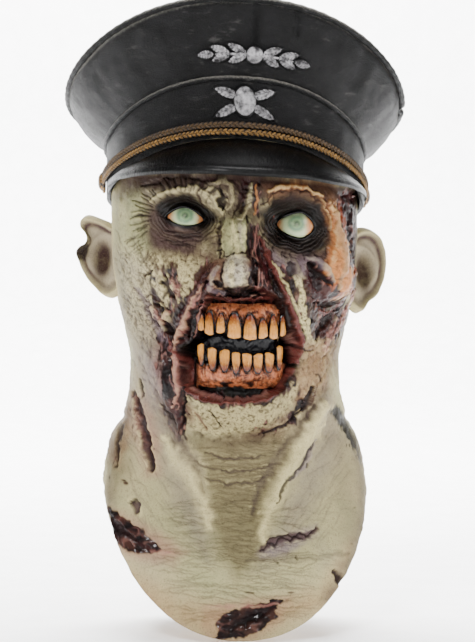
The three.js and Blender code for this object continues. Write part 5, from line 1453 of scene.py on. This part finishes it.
# ---- Cap band and welts --------------------------------------------------------------------------
# An upright band under the crown, a thick round welt at the crown's edge and a thin one at the seam.
steps = np.linspace(0, 1, 26)
band_foot, band_top = ring_height("foot", cap_angle), ring_height("seam", cap_angle) - 0.2
outer = [cap_place(cap_angle, 0, 0, band_foot * (1 - s) + band_top * s) for s in steps]
inner = [cap_place(cap_angle, 0, -cap_wall, band_foot * (1 - s) + band_top * s) for s in steps[::-1]]
points = np.concatenate(outer + inner)
plan = points * (1, 1, 0) / np.linalg.norm(points * (1, 1, 0), axis=1)[:, None]
outside = np.repeat([1.0] * len(outer) + [0.0] * len(inner), cap_columns)
points = points + plan * (0.5 * cloud(points, 12) * outside)[:, None]
faces = grid_faces(len(outer) * 2, cap_columns)
last = (2 * len(outer) - 1) * cap_columns
hem = [[last + k, k, (k + 1) % cap_columns, last + (k + 1) % cap_columns] for k in range(cap_columns)]
band = mesh_piece("cap_band_cloth", points, faces.tolist() + hem)
# grey along the band's top and foot, worn and a painted highlight
band_rub = np.concatenate([np.full(cap_columns, 0.12 + 0.2 * abs(2 * s - 1)) for s in np.r_[steps,
    steps[::-1]]])
finish_cap_piece(band, "cap_band", band_rub)


def welt(name, node, ring, radius, twist):
    """A padded cord under cloth, with slight gathers, laid round outside a ring of the cap."""
    places, sides = 480, 14
    turn = 2 * math.pi * np.arange(sides) / sides
    many = np.linspace(-math.pi, math.pi, places, endpoint=False)
    gather = 1 + 0.06 * np.cos(many * twist) + 0.05 * cloud(np.stack([many * 40, many, many], 1), 3)
    loops = []
    for t in turn:
        outward = radius * gather * np.cos(t) + radius - 1.1
        loops.append(cap_point(ring, many, outward, radius * gather * math.sin(t)))
    points = np.stack(loops, 1)
    if ring == "edge":  # dented by the nick
        spot = np.linalg.norm(points.mean(1) - nick, axis=1)
        points[..., 0] -= 4 * ease(7, 2, spot)[:, None]
    faces = grid_faces(places, sides).tolist()
    last = (places - 1) * sides
    faces += [[last + k, k, (k + 1) % sides, last + (k + 1) % sides] for k in range(sides)]
    piece = mesh_piece(name, points.reshape(-1, 3), np.array(faces)[:, ::-1])
    # grey on the welt's upper outer side, a painted highlight
    lit_side = np.tile(0.28 + 0.42 * np.clip(np.cos(turn - 0.9), 0, 1), places)
    finish_cap_piece(piece, node, lit_side)


welt("cap_edge_welt", "cap_piping", "edge", 2.4, 90)
welt("cap_seam_welt", "cap_seam_piping", "seam", 1.8, 70)

# ---- Visor ---------------------------------------------------------------------------------------
# A stiff crescent peak, smooth and glossier than the cloth, with a raised rim and scuffs.
visor_reach, visor_wall, visor_span = 40, 3, math.radians(82)
gloss = Finish("glossy_visor", Specular_IOR_Level=0.1, Coat_Weight=0.1, Coat_Roughness=0.2)
smear, scuff = gloss.noise(24, 4), gloss.noise(2.4, 5, 0.7)
visor_colour = gloss.mix(smear.between(0.35, 0.7), tone(5, 5, 8), tone(18, 17, 20))
visor_colour = gloss.mix((gloss.kept("rub") + 0.5 * scuff).between(0.7, 1.2), visor_colour, tone(156, 148,
    138))
visor_colour = gloss.mix(scuff.between(0.64, 0.76) * 0.25, visor_colour, tone(120, 114, 108))
brushed = gloss.noise(1.6, 4, 0.6, (1, 0.22, 0.4))
visor_colour = gloss.mix(brushed.between(0.56, 0.74) * 0.22, visor_colour, tone(110, 106, 104))
gloss.drive(
    Base_Color=visor_colour, Roughness=0.28 + 0.25 * smear,
    Normal=gloss.dents(brushed + 0.6 * scuff + smear, 0.7),
)


def visor_place(angle, share, proud):
    root = cap_point("foot", angle)
    ahead = 0.14 + 0.86 * np.cos(angle / visor_span * math.pi / 2)
    level = head_height * (-0.388 + 0.06 * ahead**0.3)
    tip = cap_place(angle, 0, 0, level)
    tip = tip + np.stack([0.05 * ahead * root[:, 0], -visor_reach * ahead**0.9, 0 * ahead], 1)
    bow = math.sin(share * math.pi) * visor_wall
    return root + (tip - root) * share + (0, -0.3 * bow, bow + proud)


visor_columns, top_rows, under_rows = 220, 26, 14
many = np.linspace(-visor_span, visor_span, visor_columns)
rows = []
for share in np.linspace(0.01, 1, top_rows):
    rolled = 1.1 * math.exp(-(((share - 0.94) / 0.045) ** 2))
    rows.append(visor_place(many, share, visor_wall + rolled) + (0, -0.4, -0.4 - visor_wall))
for share in np.linspace(1, 0.01, under_rows):
    rows.append(visor_place(many, share, 0.0) + (0, -0.4, -0.4 - visor_wall))
points = np.concatenate(rows)
points[:, 2] += 0.4 * cloud(points, 18)
faces = grid_faces(len(rows), visor_columns, wrap=False).tolist()
last = (len(rows) - 1) * visor_columns
faces += [[last + k, k, k + 1, last + k + 1] for k in range(visor_columns - 1)]
faces += [[r * visor_columns for r in range(len(rows))]]
faces += [[(r + 1) * visor_columns - 1 for r in range(len(rows))][::-1]]
visor = mesh_piece("visor_peak", points, faces)
# grey along the rolled rim, worn and a painted highlight
rub = [0.1 + 0.12 * math.exp(-(((s - 0.97) / 0.03) ** 2)) for s in np.linspace(0.01, 1, top_rows)]
rub = np.repeat(rub + [0.1] * under_rows, visor_columns)
finish_cap_piece(visor, "cap_visor", rub, gloss)

# ---- Cord over the visor -------------------------------------------------------------------------
# Two plaited strands from button to button: the upper one nearly black, the lower one old gold.
braid_gold = Finish("gold_braid", Metallic=0.25)
thread, dirt = braid_gold.noise(0.7, 3), braid_gold.noise(4, 4)
low_place = braid_gold.kept("deep")
braid_colour = braid_gold.mix((thread * 0.6 + dirt * 0.5).between(0.3, 0.8), tone(58, 40, 18), tone(178,
    136, 66))
braid_colour = braid_gold.mix(low_place.between(0.3, 0.75), braid_colour, tone(16, 10, 8))
braid_colour = braid_gold.mix(braid_gold.kept("dark") * 0.7, braid_colour, tone(60, 46, 34))
braid_gold.drive(Base_Color=braid_colour, Roughness=0.4 + 0.3 * thread, Normal=braid_gold.dents(thread,
    0.3))

button_radius, button_thick = 9, 6
cord_span = math.pi / 2 - button_radius / band_out[0]
plait_turns, cord_places, cord_sides = 30, 720, 8
points, faces, deep, dark = [], [], [], []
for height, darkness in ((2.6, 1.0), (-2.5, 0.0)):
    for ply in range(3):
        many = np.linspace(-cord_span, cord_span, cord_places)
        phase = many / cord_span * math.pi * plait_turns + ply * 2 * math.pi / 3
        sway, lift = np.sin(phase) * 1.35, np.sin(2 * phase) * 0.55
        loops = []
        for t in 2 * math.pi * np.arange(cord_sides) / cord_sides:
            outward = 0.4 + 2.1 + lift + 1.0 * math.cos(t)
            loops.append(cap_point("cord", many, outward, height + sway + 1.05 * math.sin(t)))
        start = sum(len(p) for p in points)
        points.append(np.stack(loops, 1).reshape(-1, 3))
        faces += grid_faces(cord_places, cord_sides, start)[:, ::-1].tolist()
        deep.append((0.5 - 0.5 * lift / 0.55).repeat(cord_sides) * 0.8)
        dark.append(np.full(cord_places * cord_sides, darkness))
cord = mesh_piece("cord_plait", np.concatenate(points), faces)
paint_on(cord, deep=np.concatenate(deep), dark=np.concatenate(dark))
cord.data.materials.append(braid_gold.data)
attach(cord, "root")
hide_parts("cap_cord")

# ---- Side buttons --------------------------------------------------------------------------------
# Domed buttons with a rolled rim and a pebbled middle that hold the ends of the cord.
pebbled = Finish("pebbled_button", Metallic=0.35)
grit, tarnish = pebbled.cells(1.6), pebbled.noise(3, 4)
button_colour = pebbled.mix(tarnish.between(0.35, 0.65), tone(60, 42, 24), tone(190, 146, 80))
button_colour = pebbled.mix(grit.between(0.45, 0.75) * 0.8, button_colour, tone(30, 22, 16))
pebbled.drive(Base_Color=button_colour, Roughness=0.35 + 0.3 * tarnish, Normal=pebbled.dents(1 - grit, 0.7))
button_sides = 48
button_profile = [  # share of the radius, share of the thickness
    (0.8, 0), (1.0, 0.1), (1.0, 0.3), (0.94, 0.42), (0.84, 0.45),
    (0.78, 0.5), (0.7, 0.7), (0.5, 0.9), (0.3, 0.98), (0.03, 1),
]
for side in (-1, 1):
    turn = 2 * math.pi * np.arange(button_sides) / button_sides
    seat = cap_point("cord", np.array([side * math.pi / 2]), 0.4)[0]
    rings = [
        np.stack([
            seat[0] + side * button_thick * h + 0 * turn,
            seat[1] + button_radius * r * np.cos(turn),
            seat[2] + button_radius * r * np.sin(turn),
        ], 1)
        for r, h in button_profile
    ]
    faces = grid_faces(len(rings), button_sides).tolist() + [list(range(button_sides))]
    faces += [list(range(button_sides * (len(rings) - 1), button_sides * len(rings)))[::-1]]
    faces = [f[::-1] for f in faces] if side < 0 else faces
    button = mesh_piece(f"button_{'left' if side < 0 else 'right'}", np.concatenate(rings), faces)
    button.data.materials.append(pebbled.data)
    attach(button, "root")
    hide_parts("cap_button_left" if side < 0 else "cap_button_right")

# ---- Badges --------------------------------------------------------------------------------------
# Cast relief painted dull silver: two sprays of leaves from a round boss on the crown, and a tall oval
# boss between four leaves on the band.
silver = Finish("aged_silver", Metallic=0.55)
tarnish, pits = silver.noise(5, 5, 0.6), silver.noise(1, 3)
silver_colour = silver.mix(tarnish.between(0.3, 0.65), tone(60, 58, 60), tone(176, 174, 176))
silver_colour = silver.mix(silver.kept("deep").between(0.2, 0.7), silver_colour, tone(14, 13, 15))
silver.drive(Base_Color=silver_colour, Roughness=0.3 + 0.3 * tarnish, Normal=silver.dents(tarnish + pits,
    0.35))


def bent_on_cap(local, low, high, up, shift):
    """Places points with x across, y outward and z up on the front of the cap."""
    out_low, out_high = cap_rings[low][3], cap_rings[high][3]
    half = band_out[0] + (out_low + (out_high - out_low) * up) * overhang[0]
    x = local[:, 0] + shift
    at = np.sign(x) * np.arcsin((np.abs(x) / half) ** (section_power / 2))
    foot, head = ring_height(low, at), ring_height(high, at)
    share = up + local[:, 2] / (head - foot)
    out = out_high * smooth_row(crown_rows, 1, share)
    return cap_place(at, out, local[:, 1], foot + (head - foot) * share)


def leaf(long, wide, thick, x, z, tilt, veins=True):
    """A pointed leaf with a midrib and notched veins, or a plain boss, as points, faces and depths."""
    columns, rows = 40, 14
    turn = 2 * math.pi * np.arange(columns) / columns
    points, deep = [], []
    for r in np.linspace(1, 0.02, rows):
        point = 0.35 * np.abs(np.cos(turn)) ** 3 if veins else 0 * turn
        dx, dz = np.cos(turn) * long / 2 * r * (1 + 0.1 * point), np.sin(turn) * wide / 2 * r * (1 - point)
        rib = 0.3 * np.exp(-((dz / (0.08 * wide)) ** 2)) if veins else 0 * turn
        cut = (0.5 + 0.5 * np.cos(dx / long * 42 + np.abs(dz) / wide * 9)) if veins else 0 * turn
        high = thick * (math.sqrt(1 - 0.96 * r * r) + rib - 0.22 * cut * ease(0.1, 0.5, r))
        points.append(np.stack([dx, 0.4 + high, dz], 1))
        deep.append(0.55 * cut * ease(0.1, 0.5, r) + ease(0.75, 1, r) + 0 * turn)
    local = np.concatenate(points)
    a = math.radians(tilt)
    local = np.stack([
        x + local[:, 0] * math.cos(a) - local[:, 2] * math.sin(a), local[:, 1],
        z + local[:, 0] * math.sin(a) + local[:, 2] * math.cos(a),
    ], 1)
    return local, grid_faces(rows, columns)[:, ::-1], np.concatenate(deep)


def badge(name, node, parts, low, high, up, shift):
    points, faces, deep, start = [], [], [], 0
    for local, part_faces, part_deep in parts:
        points.append(bent_on_cap(local, low, high, up, shift))
        faces += (part_faces + start).tolist()
        deep.append(part_deep)
        start += len(local)
    piece = mesh_piece(name, np.concatenate(points), faces)
    paint_on(piece, deep=np.concatenate(deep))
    piece.data.materials.append(silver.data)
    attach(piece, "root")
    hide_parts(node)


badge_width, boss_height = 77, 24
spray = [leaf(0.86 * badge_width, 2.2, 1.8, 0, 0, 0, False), leaf(13, 13, 3.8, 0, 0, 0, False), leaf(9, 9,
    4.6, 0, 0, 0, False)]
for x, long, tilt in ((0.15, 0.2, 27), (0.15, 0.2, -22), (0.3, 0.19, 22), (0.3, 0.19, -18), (0.43, 0.15,
    2)):
    for side in (-1, 1):
        rise = math.sin(math.radians(tilt)) * long * badge_width / 2
        spray.append(leaf(long * badge_width * 1.05, 6.4, 2.4, side * x * badge_width, rise, side * tilt))
badge("badge_spray", "badge_upper", spray, "seam", "edge", 0.3, 6)
oval = [leaf(0.72 * boss_height, boss_height, 5, 0, 0, 0, False), leaf(0.5 * boss_height,
    0.76 * boss_height, 6, 0, 0, 0, False)]
for side in (-1, 1):
    for tilt in (-27, 22):
        rise = math.sin(math.radians(tilt)) * 0.62 * boss_height
        oval.append(leaf(0.92 * boss_height, 0.34 * boss_height, 2.8, side * 0.5 * boss_height, rise,
            side * tilt))
badge("badge_oval", "badge_lower", oval, "foot", "seam", 0.62, 0)

# ---- Studio --------------------------------------------------------------------------------------
# A pale sheet that runs from the floor up behind the mask, and broad soft lamps above and beside it.
sheet = []
for back, up in [(-5, 0), (2.9, 0), (3.5, 0.06), (4.0, 0.3), (4.3, 0.8), (4.4, 4.5)]:
    sheet.append([(x, back, up) for x in (-5, 5)])
floor_drop = 426.5  # just under the tip of the chest flap
points = np.array(sheet).reshape(-1, 3) / mm - (0, 0, floor_drop)
sweep = mesh_piece("studio_sweep", points, grid_faces(len(sheet), 2, wrap=False)[:, ::-1])
paper = Finish("pale_paper", Roughness=0.9)
paper.drive(Base_Color=paper.mix(paper.noise(40).between(0.3, 0.7), tone(246, 246, 246),
    tone(250, 250, 250)))
sweep.data.materials.append(paper.data)

sky = bpy.data.worlds.new("studio_light")
sky.use_nodes = True
sky.node_tree.nodes["Background"].inputs["Color"].default_value = (1, 1, 1, 1)
sky.node_tree.nodes["Background"].inputs["Strength"].default_value = 0.14
bpy.context.scene.world = sky
for name, place, target, size, power in (
    ("lamp_key", (-0.7, -1.9, 1.3), (0, 0, -0.2), 0.55, 74),
    ("lamp_fill", (1.7, -1.3, 0.4), (0, 0, -0.2), 0.8, 29),
    ("lamp_top", (0.1, -0.2, 1.9), (0, 0, -0.2), 0.8, 36),
    ("lamp_backdrop", (0, 1.6, 3.2), (0, 4.2, 0.2), 2.5, 1500),
):
    light = bpy.data.lights.new(name, "AREA")
    light.size, light.energy = size, power
    lamp = bpy.data.objects.new(name, light)
    lamp.location = place
    aim = np.array(target) - np.array(place)
    lamp.rotation_euler = (math.acos(-aim[2] / np.linalg.norm(aim)), 0, math.atan2(aim[1],
        aim[0]) - math.pi / 2)
    bpy.context.collection.objects.link(lamp)
